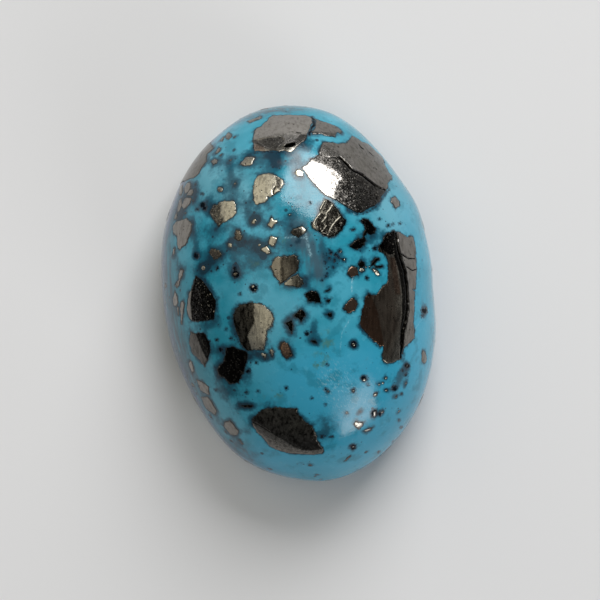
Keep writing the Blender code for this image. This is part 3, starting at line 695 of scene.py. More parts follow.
def near(points, margin):
    """Which points of the body lie within a margin of a shape's box on the map."""
    us = [p[0] for p in points]
    vs = [p[1] for p in points]
    box = (pu > min(us) - margin) & (pu < max(us) + margin)
    box &= (pv > min(vs) - margin) & (pv < max(vs) + margin)
    return np.nonzero(box)[0]


for outline in [*LARGE.values(), *DARK]:
    at = near(outline, 2.0)
    deep = inward(pu[at], pv[at], outline)
    rim_distance[at] = np.minimum(rim_distance[at], -deep)
    pocket[at] = np.maximum(pocket[at], POCKET_DEPTH * (deep > POCKET_EDGE))
for outline in [*BRIGHT, *RUSTY, *OLIVE, *FLANK]:
    at = near(outline, 1.0)
    rim_distance[at] = np.minimum(rim_distance[at], -inward(pu[at], pv[at], outline))
at = np.nonzero(on_back)[0]
for outline in BACK:
    rim_distance[at] = np.minimum(rim_distance[at], -inward(px[at], py[at], outline))
for x, y, radius in DARK_SPOTS + RINGED:
    at = near([to_map(np.float64(x), np.float64(y))], radius + 0.5)
    away = np.hypot(px[at] - x, py[at] - y)
    spot[at] = np.minimum(spot[at], away - radius)
for x, y, radius in DARK_SPOTS:
    at = near([to_map(np.float64(x), np.float64(y))], radius + 0.2)
    away = np.hypot(px[at] - x, py[at] - y) / radius
    sunk[at] = np.maximum(sunk[at], PIT_SHARE * radius * np.maximum(0, 1 - away**2))
place -= outward(co) * pocket[:, None]
place[:, 2] -= sunk * (pocket == 0)
place[:, 2] = np.maximum(place[:, 2], BACK_LIFT)
mesh.vertices.foreach_set("co", ((place - CENTRE) * MM).ravel())
print("deepest pit, mm:", round(float(sunk.max()), 2))

# %% [markdown]
# ## Clouds, veils and stains
#
# Turquoise is copper phosphate, and its blue shifts with iron and with how porous it is. Here
# it is a clear sky blue low on the dome and milky near the shoulder. Dark veils follow the
# crystals: drawn clouds, and a halo round each crystal that is partly dark matrix and partly
# painted shade. Smoke lies in the middle and along the rim, and there are olive stains, peppered
# grit, dark seams beside the plates and a few pale healed cracks, with one wider pale streak that
# is a painted reflection. Where the dome was rubbed, the gloss is scuffed, and a pale painted
# sheen lies there. A painted reflection of the room runs along the girdle. Each is a soft patch
# or a line with a place and a size. They are kept as named layers on the mesh, and the material
# gives them their colour and breaks up their edges.

# %% Patches by place
DARK_VEILS = (  # x, y, half sizes, turn in degrees, strength
    (-0.6, 9.35, 1.0, 0.3, 8, 1.3), (-0.2, 8.85, 0.4, 0.65, 0, 1.6), (-0.9, 8.7, 0.9, 0.5, 0, 0.7),
    (-1.9, 9.6, 0.45, 0.3, 0, 0.9), (1.75, 9.6, 0.65, 0.45, -30, 1.15), (2.4, 9.9, 0.4, 0.3, 0, 0.5),
    (-2.9, 9.6, 0.5, 0.25, 0, 0.5), (-3.6, 9.3, 0.5, 0.3, -20, 0.6), (-3.3, 8.8, 0.25, 0.7, -5, 0.6),
    (-4.6, 9.9, 0.9, 0.3, 38, 0.5), (-3.4, 7.5, 0.6, 0.9, 0, 0.7), (-2.6, 6.2, 0.35, 0.8, 0, 0.7),
    (-1.0, 5.9, 1.0, 0.35, 10, 0.5), (-2.1, 5.3, 0.6, 0.5, 0, 1.1), (-4.9, 6.9, 0.5, 0.5, 0, 0.7),
    (-5.4, 6.6, 0.35, 0.35, 0, 1.1), (-5.8, 7.5, 0.25, 0.9, -12, 0.9), (-5.2, 5.2, 0.5, 0.7, 0, 0.25),
    (-4.6, 4.9, 0.8, 0.35, 0, 0.6), (-6.3, 5.0, 0.25, 1.3, 0, 0.8), (-3.0, 3.9, 0.8, 0.4, -10, 0.9),
    (-1.6, 3.7, 1.0, 0.4, -15, 0.7), (-2.6, 3.2, 1.2, 0.5, -10, 0.5), (-2.6, 2.3, 1.3, 0.6, 5, 0.8),
    (-4.6, 3.6, 0.9, 0.5, 0, 0.35), (-5.0, 3.3, 0.6, 0.5, 0, 0.7), (-4.0, 1.9, 0.5, 0.5, 0, 1.0),
    (-6.3, 3.5, 0.35, 0.35, 0, 1.1), (-6.2, 2.5, 0.6, 0.4, 0, 1.0), (-5.5, 2.9, 0.5, 0.6, 0, 0.8),
    (-3.9, 3.0, 0.35, 1.4, 0, 0.5), (0.4, 5.1, 0.5, 0.7, 0, 0.8), (0.4, 3.3, 0.5, 0.6, 0, 1.1),
    (-0.2, 4.5, 0.5, 0.6, 0, 0.9), (-0.3, 3.2, 0.6, 0.5, 0, 0.7), (2.0, 3.0, 0.4, 0.5, 0, 0.4),
    (-0.8, 0.5, 0.6, 0.3, 20, 0.5), (0.9, 1.0, 0.8, 0.35, 20, 0.9), (0.5, 0.45, 0.4, 0.3, 0, 0.9),
    (2.0, 1.0, 0.5, 0.3, 20, 0.6), (2.5, 1.9, 0.6, 0.8, 20, 0.95), (1.9, 2.4, 0.3, 0.9, 0, 0.6),
    (5.2, 3.0, 0.35, 0.5, 30, 1.0), (5.9, 3.0, 0.3, 0.5, 0, 0.7), (4.0, 4.9, 0.3, 0.3, 0, 0.5),
    (5.7, 4.7, 0.8, 0.25, 30, 0.4), (-5.5, -0.4, 0.3, 0.9, 0, 0.5), (-6.3, -1.2, 0.9, 0.3, 0, 0.9),
    (-5.95, 1.6, 0.3, 0.7, 25, 0.9), (-5.6, -2.9, 0.9, 0.4, 0, 0.9), (-6.0, -4.4, 0.4, 0.9, 0, 0.9),
    (-5.6, -5.7, 0.7, 0.5, 0, 0.75), (-4.1, -4.8, 0.4, 0.7, 0, 0.8), (-4.7, -5.8, 0.7, 0.4, 0, 0.2),
    (-4.6, -1.9, 0.3, 1.2, 5, 0.8), (-3.6, -3.6, 0.8, 0.35, 0, 1.0), (-2.6, -3.9, 0.5, 0.25, 0, 0.8),
    (-4.5, -6.7, 0.6, 0.25, 0, 0.8), (-5.3, -7.2, 0.7, 0.9, -30, 0.4),
    (-4.6, -8.2, 0.35, 0.8, -30, 0.6), (-3.0, -6.8, 1.4, 0.25, 5, 0.5),
    (0.9, -9.0, 0.7, 0.8, -20, 0.6), (0.3, -9.4, 0.4, 0.4, 0, 0.9), (0.2, -8.3, 0.6, 0.5, -40, 0.5),
    (-0.9, -2.0, 0.35, 0.7, 10, 1.05), (-0.1, -1.3, 0.5, 0.5, 0, 0.6),
    (0.6, -2.5, 0.3, 0.6, -15, 0.9), (0.8, -3.2, 0.35, 0.3, 0, 1.0), (0.9, -0.5, 0.8, 0.45, 0, 0.6),
    (1.8, -1.6, 0.3, 0.3, 0, 0.7), (-1.2, -3.6, 0.5, 0.8, 0, 0.4), (3.0, -3.8, 0.4, 0.35, -20, 1.0),
    (5.6, -6.6, 0.35, 1.0, -30, 1.0), (6.3, -5.9, 0.3, 0.5, -30, 0.7), (4.1, -8.5, 0.4, 0.35, 0, 0.8),
    (8.0, -2.3, 0.22, 0.7, 0, 1.0), (2.0, -10.5, 0.4, 0.3, 0, 0.6), (-1.5, -11.1, 0.6, 0.15, 8, 0.5),
    (-6.6, 7.3, 0.5, 1.2, -25, 1.2), (-7.1, 6.2, 0.3, 0.5, 0, 1.1), (-7.7, 3.2, 0.3, 1.2, 0, 0.6),
    (-7.6, -1.6, 0.3, 1.5, 0, 0.5), (-7.3, -5.2, 0.3, 1.6, 20, 0.7), (-6.5, -7.5, 0.3, 1.2, 35, 0.7),
    (-5.5, -9.3, 0.8, 0.3, -45, 0.7), (-4.6, -10.3, 1.0, 0.35, 30, 0.5), (1.0, 7.0, 0.9, 1.5, 0, 0.3),
    (1.0, 8.8, 0.6, 0.6, 0, 0.7), (4.6, 1.7, 1.0, 0.9, 0, 0.35), (-3.4, 6.6, 2.0, 2.8, 0, 0.34),
    (-2.8, 3.4, 2.4, 1.3, -10, 0.3), (-5.6, 3.6, 1.2, 2.6, 0, 0.3), (-5.3, -4.6, 1.2, 2.0, 0, 0.25),
    (-2.9, 9.0, 1.8, 0.9, 0, 0.35), (2.2, 1.8, 1.2, 1.6, 0, 0.25), (-0.3, -2.0, 1.2, 1.4, 0, 0.2),
    (1.5, 5.8, 0.8, 0.6, 0, 0.3), (4.9, 3.3, 1.2, 1.0, 0, 0.2),
)
SMOKE = (  # this and the next five tables have the same columns
    (1.3, 1.9, 0.85, 1.8, 0, 1.15), (0.4, 3.9, 1.1, 1.3, 10, 1.0), (0.8, 12.2, 2.2, 0.4, -5, 0.9),
    (1.2, 7.2, 1.0, 2.1, 0, 0.4), (-7.3, 7.4, 1.0, 3.2, -28, 1.0), (-8.4, 1.5, 0.75, 4.5, 0, 1.0),
    (-8.0, -4.5, 0.75, 3.4, 12, 0.95), (-5.4, 10.3, 1.9, 0.9, 40, 0.9),
    (-1.8, 12.0, 1.8, 0.35, 8, 0.7), (0.95, 8.8, 0.5, 0.8, 0, 0.8), (-5.4, -9.6, 1.9, 0.7, -42, 0.8),
    (-2.4, 9.6, 0.8, 0.6, 0, 0.3),
)
STAINS = (
    (1.0, -4.3, 0.6, 1.1, -35, 0.55), (-2.6, -6.3, 1.1, 0.5, 0, 0.6), (1.4, -3.0, 0.5, 0.7, 0, 0.5),
    (-0.6, 3.6, 0.5, 0.5, 0, 0.5), (0.4, -4.5, 0.5, 0.5, 0, 0.45), (-2.3, 2.5, 1.0, 0.5, 0, 0.4),
)
SKY_BLUE = (
    (2.0, -9.5, 6.0, 4.5, 0, 1.0), (4.5, -5.5, 3.0, 3.5, 0, 0.6), (-0.5, -5.5, 2.8, 2.2, 0, 0.8),
    (7.5, 0.0, 1.8, 8.0, 0, 0.7), (-3.5, -10.5, 3.0, 2.0, 30, 0.6),
)
MILKY = (
    (6.6, 4.4, 1.6, 2.6, 0, 0.9), (-4.2, 8.4, 2.2, 2.0, 0, 0.7), (-2.8, 6.6, 1.6, 1.4, 0, 0.6),
    (5.9, 6.6, 1.2, 1.2, 0, 0.4),
)
# Rubbed places: the gloss is dull there, and a pale painted sheen lies on them where the lamps mirror
# in the dome.
SCUFFS_AND_SHEEN = (
    (1.9, -6.9, 1.2, 1.9, 0, 1.0), (0.9, -5.6, 0.6, 1.2, -20, 0.7), (3.6, -7.6, 0.5, 0.9, 0, 0.5),
    (1.2, 8.6, 0.8, 1.0, 0, 0.4), (-3.0, 0.5, 3.0, 4.0, 0, 0.2),
)  # places where the gloss is rubbed dull
PEPPER = (
    (0.2, 5.6, 0.9, 0.7, 0, 1.0), (2.4, 1.9, 0.8, 0.9, 0, 1.0), (1.6, 3.4, 0.4, 0.9, 0, 0.7),
    (-2.4, 3.6, 1.7, 0.8, -10, 0.8), (6.3, 3.8, 0.6, 0.4, 0, 1.0), (0.5, -2.7, 0.5, 0.8, 0, 0.9),
    (0.4, -9.3, 0.6, 0.5, 0, 0.9), (5.6, -7.0, 0.5, 1.2, -30, 0.8), (-5.3, 6.9, 0.5, 0.9, 0, 0.9),
    (-0.7, 9.1, 1.2, 0.5, 0, 0.7), (-3.2, 9.4, 0.9, 0.6, 0, 0.8), (-6.5, 7.0, 0.5, 2.0, -20, 0.9),
    (-4.6, -6.0, 1.3, 0.7, -20, 0.8), (5.2, 0.9, 0.6, 0.6, 0, 0.5), (-2.6, -3.8, 1.0, 0.4, 0, 0.8),
    (0.6, 0.6, 1.2, 0.5, 0, 0.7), (2.3, -6.6, 1.2, 0.8, 0, 0.3), (-5.6, 2.6, 0.9, 0.9, 0, 0.8),
)
print(len(DARK_VEILS) + len(SMOKE), "patches of veil and smoke")

# %% Seams and hairlines
DARK_SEAMS = (  # points of the line, then its half width
    (((2.5, 11.4), (2.62, 11.1), (2.55, 10.9), (2.38, 10.7), (2.25, 10.45), (2.15, 10.3)), 0.1),
    (((-1.6, 9.62), (-1.0, 9.58), (-0.5, 9.52), (0.1, 9.38), (0.45, 9.3)), 0.03),
    (((6.85, 5.95), (6.3, 5.45), (5.75, 4.9), (5.1, 4.65), (4.5, 4.62), (3.95, 5.0)), 0.03),
    (((0.3, 1.25), (0.0, 1.35), (-0.5, 1.05), (-1.0, 0.82)), 0.0),
    (((-6.4, 2.15), (-6.05, 1.75), (-5.65, 1.0), (-5.4, 0.4), (-5.5, -0.3)), 0.0),
    (((-4.6, -0.9), (-4.55, -2.0), (-4.3, -2.9), (-3.9, -3.3)), 0.0),
    (((3.6, -2.6), (3.75, -3.1), (4.2, -3.6), (4.7, -4.3)), 0.0),
)
PALE_CRACKS_AND_REFLECTION = (  # points of the line, then its half width and strength
    (((3.62, 0.55), (3.52, 0.15), (3.42, -0.4)), 0.06, 0.6),
    (((3.05, -2.15), (2.6, -2.65), (2.35, -3.1), (2.15, -4.0)), 0.035, 0.6),
    # This wide one is a painted reflection of light from above, not a crack.
    (((0.95, 4.0), (1.0, 3.6), (1.03, 3.1), (1.1, 2.4)), 0.13, 0.5),
    (((-0.4, 3.78), (0.3, 3.78), (0.65, 3.65), (0.95, 3.6)), 0.06, 0.55),
    (((4.3, 5.0), (4.35, 4.6)), 0.06, 0.7),
    (((7.0, -3.6), (7.6, -3.0), (7.95, -2.6)), 0.04, 0.4),
    (((1.5, 10.0), (1.9, 9.4), (2.3, 9.1)), 0.04, 0.2),
)


print(len(DARK_SEAMS), "dark seams and", len(PALE_CRACKS_AND_REFLECTION), "pale hairlines")

# %% Layers on the mesh
MOST_PATCHES = 1.7  # patches that overlap add up to no more than this


def patches(listed):
    """Soft patches: one at each middle, fading to nothing beyond its half sizes."""
    total = np.zeros(len(place))
    for x, y, wide, high, turned, strength in listed:
        angle = math.radians(turned)
        u = (px - x) * math.cos(angle) + (py - y) * math.sin(angle)
        v = (py - y) * math.cos(angle) - (px - x) * math.sin(angle)
        total += strength * np.exp(-((u / wide) ** 2) - (v / high) ** 2)
    return np.minimum(total, MOST_PATCHES)


def add_layer(name, values):
    """Keeps one value for each point of the body as a named layer."""
    layer = mesh.attributes.new(name, "FLOAT", "POINT")
    layer.data.foreach_set("value", np.asarray(values, np.float32))


for line, half_width in DARK_SEAMS:
    at = near(map_outline(line), 0.5)
    spot[at] = np.minimum(spot[at], along(px[at], py[at], line) - half_width)
pale = np.zeros(len(place))
for line, width, strength in PALE_CRACKS_AND_REFLECTION:
    at = near(map_outline(line), 0.5)
    away = along(px[at], py[at], line)
    pale[at] = np.maximum(pale[at], strength * np.exp(-((away / width) ** 2)))
# A lilac reflection of the room is painted along the girdle: faint all round, strong on the
# left, and cut off short below, where the stone turns under.
RIM_REFLECTION_AT = 1.5  # radians down from the top
fade = np.where(down < RIM_REFLECTION_AT, 0.22, 0.1)
leftward = np.clip(-px / 7, 0, 1)
flank = np.exp(-(((down - RIM_REFLECTION_AT) / fade) ** 2)) * (0.12 + 0.85 * leftward)
LAYERS = {
    "crystal_edge": rim_distance,
    "painted_rim_reflection": flank,
    "ground": on_back,
    "spot": spot,
    "dark_veil": patches(DARK_VEILS),
    "smoke": patches(SMOKE),
    "stain": np.where(on_top, patches(STAINS), 0),
    "sky_blue": patches(SKY_BLUE),
    "milky": patches(MILKY),
    "pepper": patches(PEPPER),
    "scuff_and_sheen": patches(SCUFFS_AND_SHEEN),
    "pale_crack_and_reflection": pale,
}
for name, values in LAYERS.items():
    add_layer(name, values)
    print(name, "from", round(float(values.min()), 2), "to", round(float(values.max()), 2))

# %% [markdown]
# ## Turquoise, polished
#
# Polished turquoise is finished with wax, which fills its pores: the gloss is the wax's, with a
# refractive index of 1.47, smooth but not glass-like. Pinholes stay where softer spots lifted
# out. The colour is built in layers, from the broad cloud to the dark line around each crystal,
# because that is the order in which the eye finds them. Noise at four sizes breaks every edge.
# Streaks come from noise that is stretched first: a Mapping node of the Texture type turns the
# pattern before it scales it, so the streaks run along the turned direction.


# %% Helpers for materials
def add(tree, kind, inputs, **settings):
    """Adds one node with its settings, and sets or links its inputs. Returns its outputs."""
    made = tree.nodes.new("ShaderNode" + kind)
    for name, value in settings.items():
        setattr(made, name, value)
    for key, value in inputs.items():
        if isinstance(value, bpy.types.NodeSocket):
            tree.links.new(value, made.inputs[key])
        else:
            made.inputs[key].default_value = value
    return made.outputs


def per_mm(size_mm):
    """Texture scale for a pattern whose features are this many millimetres apart."""
    return 1.0 / (size_mm * MM)


def rgba(hex_colour):
    """One sRGB hex colour as a node wants it: linear, with full opacity."""
    return (*linear(hex_colour), 1.0)


def new_material(name):
    """A material with its node tree and its one shader."""
    made = bpy.data.materials.new(name)
    made.use_nodes = True
    return made, made.node_tree, made.node_tree.nodes["Principled BSDF"]


print("a pattern 1 mm apart has the scale", round(per_mm(1.0)))


# %% Turquoise: patterns and layers
# Turquoise, ground and buffed with wax: a soft gloss over a clouded blue, with dark veils and a
# halo round each crystal that is partly painted shade, a dark line along each crystal, pale
# hairlines, a painted sheen and painted reflections, and pinholes that catch no light.
STONE_TURN = -0.145  # radians: the streaks run up the picture, and the stone leans in it
RUB_TURN = 0.5  # radians: the buffing strokes run aslant
turquoise, tree, shader = new_material("polished turquoise")
at = add(tree, "TexCoord", {})["Object"]
noises = {}
SIZES = (("broad", 4.5, 3), ("middle", 1.3, 4), ("small", 0.42, 4), ("fine", 0.14, 3))  # mm, octaves
for name, size, detail in SIZES:
    inputs = {"Vector": at, "Scale": per_mm(size), "Detail": detail, "Roughness": 0.58}
    noises[name] = add(tree, "TexNoise", inputs)["Fac"]
layers = {name: add(tree, "Attribute", {}, attribute_name=name)["Fac"] for name in LAYERS}
print(len(noises), "patterns and", len(layers), "layers for the turquoise")

# %% Turquoise: veils, lines and smoke
# A veil is the drawn patch, and a dark halo that comes and goes round each crystal. The halo is
# partly dark matrix and partly painted shade, where light in the stone is lost to the crystal.
# Where the sum with the noises is high enough, a tint is laid.
matrix_and_shade_halo = add(tree, "MapRange", {"Value": layers["crystal_edge"], 1: 0.0, 2: 0.45, 3: 0.85, 4: 0.0})[0]
broken = add(tree, "MapRange", {"Value": noises["middle"], 1: 0.36, 2: 0.64, 3: 0.3, 4: 1.2})[0]
matrix_and_shade_halo = add(tree, "Math", {0: matrix_and_shade_halo, 1: broken}, operation="MULTIPLY")[0]
veil_and_shade = add(tree, "Math", {0: layers["dark_veil"], 1: matrix_and_shade_halo}, operation="ADD")[0]
for name, share in (("middle", 1.3), ("small", 1.1), ("fine", 0.4)):
    veil_and_shade = add(tree, "Math", {0: noises[name], 1: share, 2: veil_and_shade}, operation="MULTIPLY_ADD")[0]
edge = layers["crystal_edge"]
for name, share in (("fine", 0.22), ("small", -0.3)):
    edge = add(tree, "Math", {0: noises[name], 1: share, 2: edge}, operation="MULTIPLY_ADD")[0]
blot = add(tree, "Math", {0: noises["fine"], 1: 0.35, 2: layers["spot"]}, operation="MULTIPLY_ADD")[0]
along_stone = {"Vector": at, "Rotation": (0, 0, STONE_TURN), "Scale": (1.0, 4.5, 1.0)}
streaks = add(tree, "Mapping", along_stone, vector_type="TEXTURE")[0]
streak = add(tree, "TexNoise", {"Vector": streaks, "Scale": per_mm(0.45), "Detail": 4})["Fac"]
smoke = add(tree, "Math", {0: streak, 1: 2.2, 2: -0.1}, operation="MULTIPLY_ADD")[0]
smoke = add(tree, "Math", {0: smoke, 1: layers["smoke"]}, operation="MULTIPLY")[0]
leaning = {"Vector": at, "Rotation": (0, 0, RUB_TURN), "Scale": (1.0, 5.0, 1.0)}
strokes = add(tree, "Mapping", leaning, vector_type="TEXTURE")[0]
rubbed = add(tree, "TexNoise", {"Vector": strokes, "Scale": per_mm(0.09), "Detail": 2})["Fac"]
BROKEN_BY = (  # layer, the pattern that breaks it up, from, to, least and most of it that stays
    ("painted_rim_reflection", noises["middle"], 0.35, 0.65, 0.5, 1.05),
    ("stain", noises["small"], 0.4, 0.62, 0.1, 1.6),
    ("scuff_and_sheen", rubbed, 0.5, 0.7, 0.0, 1.0),
    ("pale_crack_and_reflection", noises["fine"], 0.35, 0.6, 0.2, 1.0),
)
uneven = {}
for name, pattern, start, full, least, most in BROKEN_BY:
    stays = add(tree, "MapRange", {"Value": pattern, 1: start, 2: full, 3: least, 4: most})[0]
    uneven[name] = add(tree, "Math", {0: stays, 1: layers[name]}, operation="MULTIPLY")[0]
print(len(uneven), "layers are broken up by a pattern of their own")

# %% Turquoise: specks, grit and dots
# One round mark may lie in each Voronoi cell. The cell's own chance says whether it has one and
# how wide it is, and veils or peppered places make the marks grow.
crowd = add(tree, "Math", {0: layers["dark_veil"], 1: 0.5}, operation="ADD")[0]
MARKS = (  # name, cell size in mm, share of empty cells, least and most reach, where they grow
    ("speck", 0.42, 0.55, 0.0, 0.2, crowd),
    ("grit", 0.2, 0.5, 0.0, 0.42, layers["pepper"]),
    ("dot", 0.95, 0.45, 0.02, 0.2, crowd),
)
marks = {}
for name, size, empty, least, most, grows in MARKS:
    cells = add(tree, "TexVoronoi", {"Vector": at, "Scale": per_mm(size)})
    chance = add(tree, "SeparateColor", {"Color": cells["Color"]})[0]
    reach = add(tree, "MapRange", {"Value": chance, 1: empty, 2: 1.0, 3: least, 4: most})[0]
    reach = add(tree, "Math", {0: reach, 1: grows}, operation="MULTIPLY")[0]
    marks[name] = add(tree, "Math", {0: cells["Distance"], 1: reach}, operation="SUBTRACT")[0]
speck = add(tree, "Math", {0: marks["speck"], 1: 0.0}, operation="LESS_THAN")[0]
grit = add(tree, "Math", {0: marks["grit"], 1: 0.0}, operation="LESS_THAN")[0]
dot = add(tree, "Math", {0: noises["fine"], 1: 0.14, 2: marks["dot"]}, operation="MULTIPLY_ADD")[0]
print(len(marks), "kinds of small marks")

# %% Turquoise: tints
# Each tint: what it is laid by, where it starts and is full, how strong, and its colour.
TINTS = (
    (noises["broad"], 0.42, 0.62, 1.0, "#4096AC"),
    (layers["sky_blue"], 0.0, 1.2, 0.85, "#3096B6"),
    (layers["milky"], 0.0, 1.0, 0.4, "#7FAFBB"),
    (noises["middle"], 0.46, 0.34, 0.5, "#156C7F"),
    (noises["small"], 0.56, 0.70, 0.2, "#58ACC4"),
    # dark veils, with the halo of painted shade round the crystals
    (veil_and_shade, 1.6, 2.4, 0.92, "#07495C"),
    (smoke, 0.15, 1.3, 0.92, "#374F5B"),
    (veil_and_shade, 2.32, 3.0, 0.95, "#032838"),
    (uneven["stain"], 0.2, 1.1, 0.75, "#3F6B5A"),
    # painted reflection of the room along the girdle
    (uneven["painted_rim_reflection"], 0.0, 1.0, 1.0, "#66748F"),
    # pale hairlines, and the painted reflection of light from above
    (uneven["pale_crack_and_reflection"], 0.0, 1.0, 1.0, "#9CC8D4"),
    # painted sheen: a pale haze on the rubbed places
    (uneven["scuff_and_sheen"], 0.0, 1.0, 0.4, "#9CC6D2"),
    (edge, 0.12, -0.03, 0.7, "#0B3441"),
    (edge, 0.03, -0.08, 0.95, "#050D10"),
    (dot, 0.11, 0.06, 0.85, "#072C3D"),
    (blot, 0.32, 0.18, 0.65, "#0A3446"),
    (blot, 0.21, 0.12, 0.95, "#060D16"),
    (speck, 0.0, 1.0, 0.85, "#082030"),
    (grit, 0.0, 1.0, 0.85, "#07161F"),
)
colour = rgba("#1E8196")
for share, start, full, strength, hex_colour in TINTS:
    share = add(
        tree, "MapRange", {"Value": share, 1: start, 2: full, 3: 0.0, 4: strength},
        interpolation_type="SMOOTHSTEP",
    )[0]
    colour = add(tree, "Mix", {0: share, 6: colour, 7: rgba(hex_colour)}, data_type="RGBA")[2]
tree.links.new(colour, shader.inputs["Base Color"])
print(len(TINTS), "tints over the ground blue")

# %% Turquoise: gloss and fine relief
# Black spots are sulphide in a burst pit. As a metal with an almost black colour they mirror
# nothing. Elsewhere the wax's gloss varies from cloud to cloud, and it is dull where rubbed.
shader.inputs["IOR"].default_value = 1.47
black = add(tree, "MapRange", {"Value": blot, 1: 0.16, 2: 0.1, 3: 0.0, 4: 1.0})[0]
tree.links.new(black, shader.inputs["Metallic"])
wax = add(tree, "MapRange", {"Value": noises["middle"], 1: 0.35, 2: 0.65, 3: 0.06, 4: 0.22})[0]
for dull, share in ((black, 0.4), (layers["ground"], 0.35), (layers["scuff_and_sheen"], 0.2)):
    wax = add(tree, "Math", {0: dull, 1: share, 2: wax}, operation="MULTIPLY_ADD")[0]
tree.links.new(wax, shader.inputs["Roughness"])
height = add(tree, "Math", {0: speck, 1: -0.6, 2: noises["fine"]}, operation="MULTIPLY_ADD")[0]
height = add(tree, "Math", {0: noises["small"], 1: 0.8, 2: height}, operation="MULTIPLY_ADD")[0]
# The flat back is ground, not buffed: long parallel scratches, and a rougher gloss.
ground = {"Vector": at, "Rotation": (0, 0, RUB_TURN), "Scale": (0.06, 1.0, 1.0)}
strokes = add(tree, "Mapping", ground)[0]
scratch = add(tree, "TexNoise", {"Vector": strokes, "Scale": per_mm(0.12), "Detail": 2})["Fac"]
scratch = add(tree, "Math", {0: scratch, 1: layers["ground"]}, operation="MULTIPLY")[0]
height = add(tree, "Math", {0: scratch, 1: 2.5, 2: height}, operation="MULTIPLY_ADD")[0]
normal = add(tree, "Bump", {"Height": height, "Strength": 0.2, "Distance": 0.02 * MM})[0]
tree.links.new(normal, shader.inputs["Normal"])
print("turquoise has", len(tree.nodes), "nodes")


# %% The stone body as a piece
def add_piece(name, data, material):
    """A finished piece: object at the origin, smooth, riding on the stone's one body."""
    data.materials.clear()
    data.materials.append(material)
    data.shade_smooth()
    made = bpy.data.objects.new(name, data)
    bpy.context.scene.collection.objects.link(made)
    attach(made, "root")
    return made


mesh.set_sharp_from_angle(angle=math.radians(50))
stone = add_piece("stone_body", mesh, turquoise)
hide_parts("turquoise_stone")
print(stone.name, "takes the place of the solid's plain surface")

# %% [markdown]
# ## Pyrite
#
# Pyrite is iron sulphide, a brassy metal-grey crystal. Cut and polished it is a mirror with pits
# where small cubes broke out, painted dark as shade. Some faces have tarnished almost black, with
# single bright facets left, and some have rusted to brown limonite. Faces that would mirror a dark
# part of the room are painted dark on the same layer, as shade. The plates carry how dark each
# place is, from tarnish and painted shade, and how rusty, as layers, next to the distance from the
# plate's edge, where the metal is dark and broken.

# %% Pyrite: patterns and layers
PLATE_LAYERS = ("tarnish_and_shade", "rust", "granular", "painted_brightness", "plate_edge")
# Pyrite, ground flush and buffed: a warm grey mirror with specks and with pits painted dark as
# shade, streaked along its growth, black where it has tarnished and where shade is painted,
# lighter where brightness is painted high on the dome, and broken into tiny tilted facets where
# it is granular.
pyrite, tree, shader = new_material("polished pyrite")
at = add(tree, "TexCoord", {})["Object"]
noises = {}
for name, size, detail in (("middle", 0.9, 4), ("small", 0.3, 4), ("fine", 0.09, 3)):
    inputs = {"Vector": at, "Scale": per_mm(size), "Detail": detail, "Roughness": 0.62}
    noises[name] = add(tree, "TexNoise", inputs)["Fac"]
layers = {name: add(tree, "Attribute", {}, attribute_name=name)["Fac"] for name in PLATE_LAYERS}
cells = add(tree, "TexVoronoi", {"Vector": at, "Scale": per_mm(0.16)})
chance = add(tree, "SeparateColor", {"Color": cells["Color"]})
pit_size = add(tree, "MapRange", {"Value": chance[0], 1: 0.84, 2: 1.0, 3: 0.0, 4: 0.42})[0]
shaded_pit = add(tree, "Math", {0: cells["Distance"], 1: pit_size}, operation="LESS_THAN")[0]
facets = add(tree, "TexVoronoi", {"Vector": at, "Scale": per_mm(0.075)})
facet = add(tree, "SeparateColor", {"Color": facets["Color"]})
glint = add(tree, "Math", {0: facet[0], 1: 0.955}, operation="GREATER_THAN")[0]
glint = add(tree, "Math", {0: glint, 1: layers["granular"]}, operation="MULTIPLY")[0]
growth = {"Vector": at, "Rotation": (0, 0, STONE_TURN), "Scale": (1.0, 5.0, 1.0)}
lengthwise = add(tree, "Mapping", growth, vector_type="TEXTURE")[0]
grain = add(tree, "TexNoise", {"Vector": lengthwise, "Scale": per_mm(0.2), "Detail": 3})["Fac"]
tarnish_and_shade = layers["tarnish_and_shade"]
for pattern, share in ((grain, 0.4), (noises["small"], 0.32), (noises["fine"], 0.3)):
    tarnish_and_shade = add(tree, "Math", {0: pattern, 1: share, 2: tarnish_and_shade}, operation="MULTIPLY_ADD")[0]
worn = {0: noises["fine"], 1: -0.1, 2: layers["plate_edge"]}
edge = add(tree, "Math", worn, operation="MULTIPLY_ADD")[0]
print(len(noises), "patterns and", len(layers), "layers for the pyrite")

# %% Pyrite: tints, gloss and facets
TINTS = (  # the same columns as for the turquoise
    # painted brightness of the crystals high on the dome
    (layers["painted_brightness"], 0.0, 1.0, 1.0, "#C5BFAD"),
    (noises["middle"], 0.42, 0.6, 0.3, "#8E8B82"),
    (noises["small"], 0.48, 0.34, 0.5, "#75716A"),
    (grain, 0.52, 0.66, 0.45, "#6E6A62"),
    (layers["rust"], 0.0, 1.0, 1.0, "#86614A"),
    # tarnish, and painted shade where a face would mirror a dark part of the room
    (tarnish_and_shade, 0.52, 1.46, 1.0, "#100F0D"),
    (glint, 0.0, 0.8, 0.8, "#A8A294"),
    # painted shade in the pits
    (shaded_pit, 0.0, 1.0, 0.75, "#14110E"),
    (edge, 0.02, -0.05, 0.9, "#0A0908"),
)
colour = rgba("#98948F")
for share, start, full, strength, hex_colour in TINTS:
    share = add(tree, "MapRange", {"Value": share, 1: start, 2: full, 3: 0.0, 4: strength})[0]
    colour = add(tree, "Mix", {0: share, 6: colour, 7: rgba(hex_colour)}, data_type="RGBA")[2]
tree.links.new(colour, shader.inputs["Base Color"])
shader.inputs["Metallic"].default_value = 1.0
wear = add(tree, "MapRange", {"Value": noises["fine"], 1: 0.3, 2: 0.7, 3: 0.12, 4: 0.3})[0]
tree.links.new(wear, shader.inputs["Roughness"])
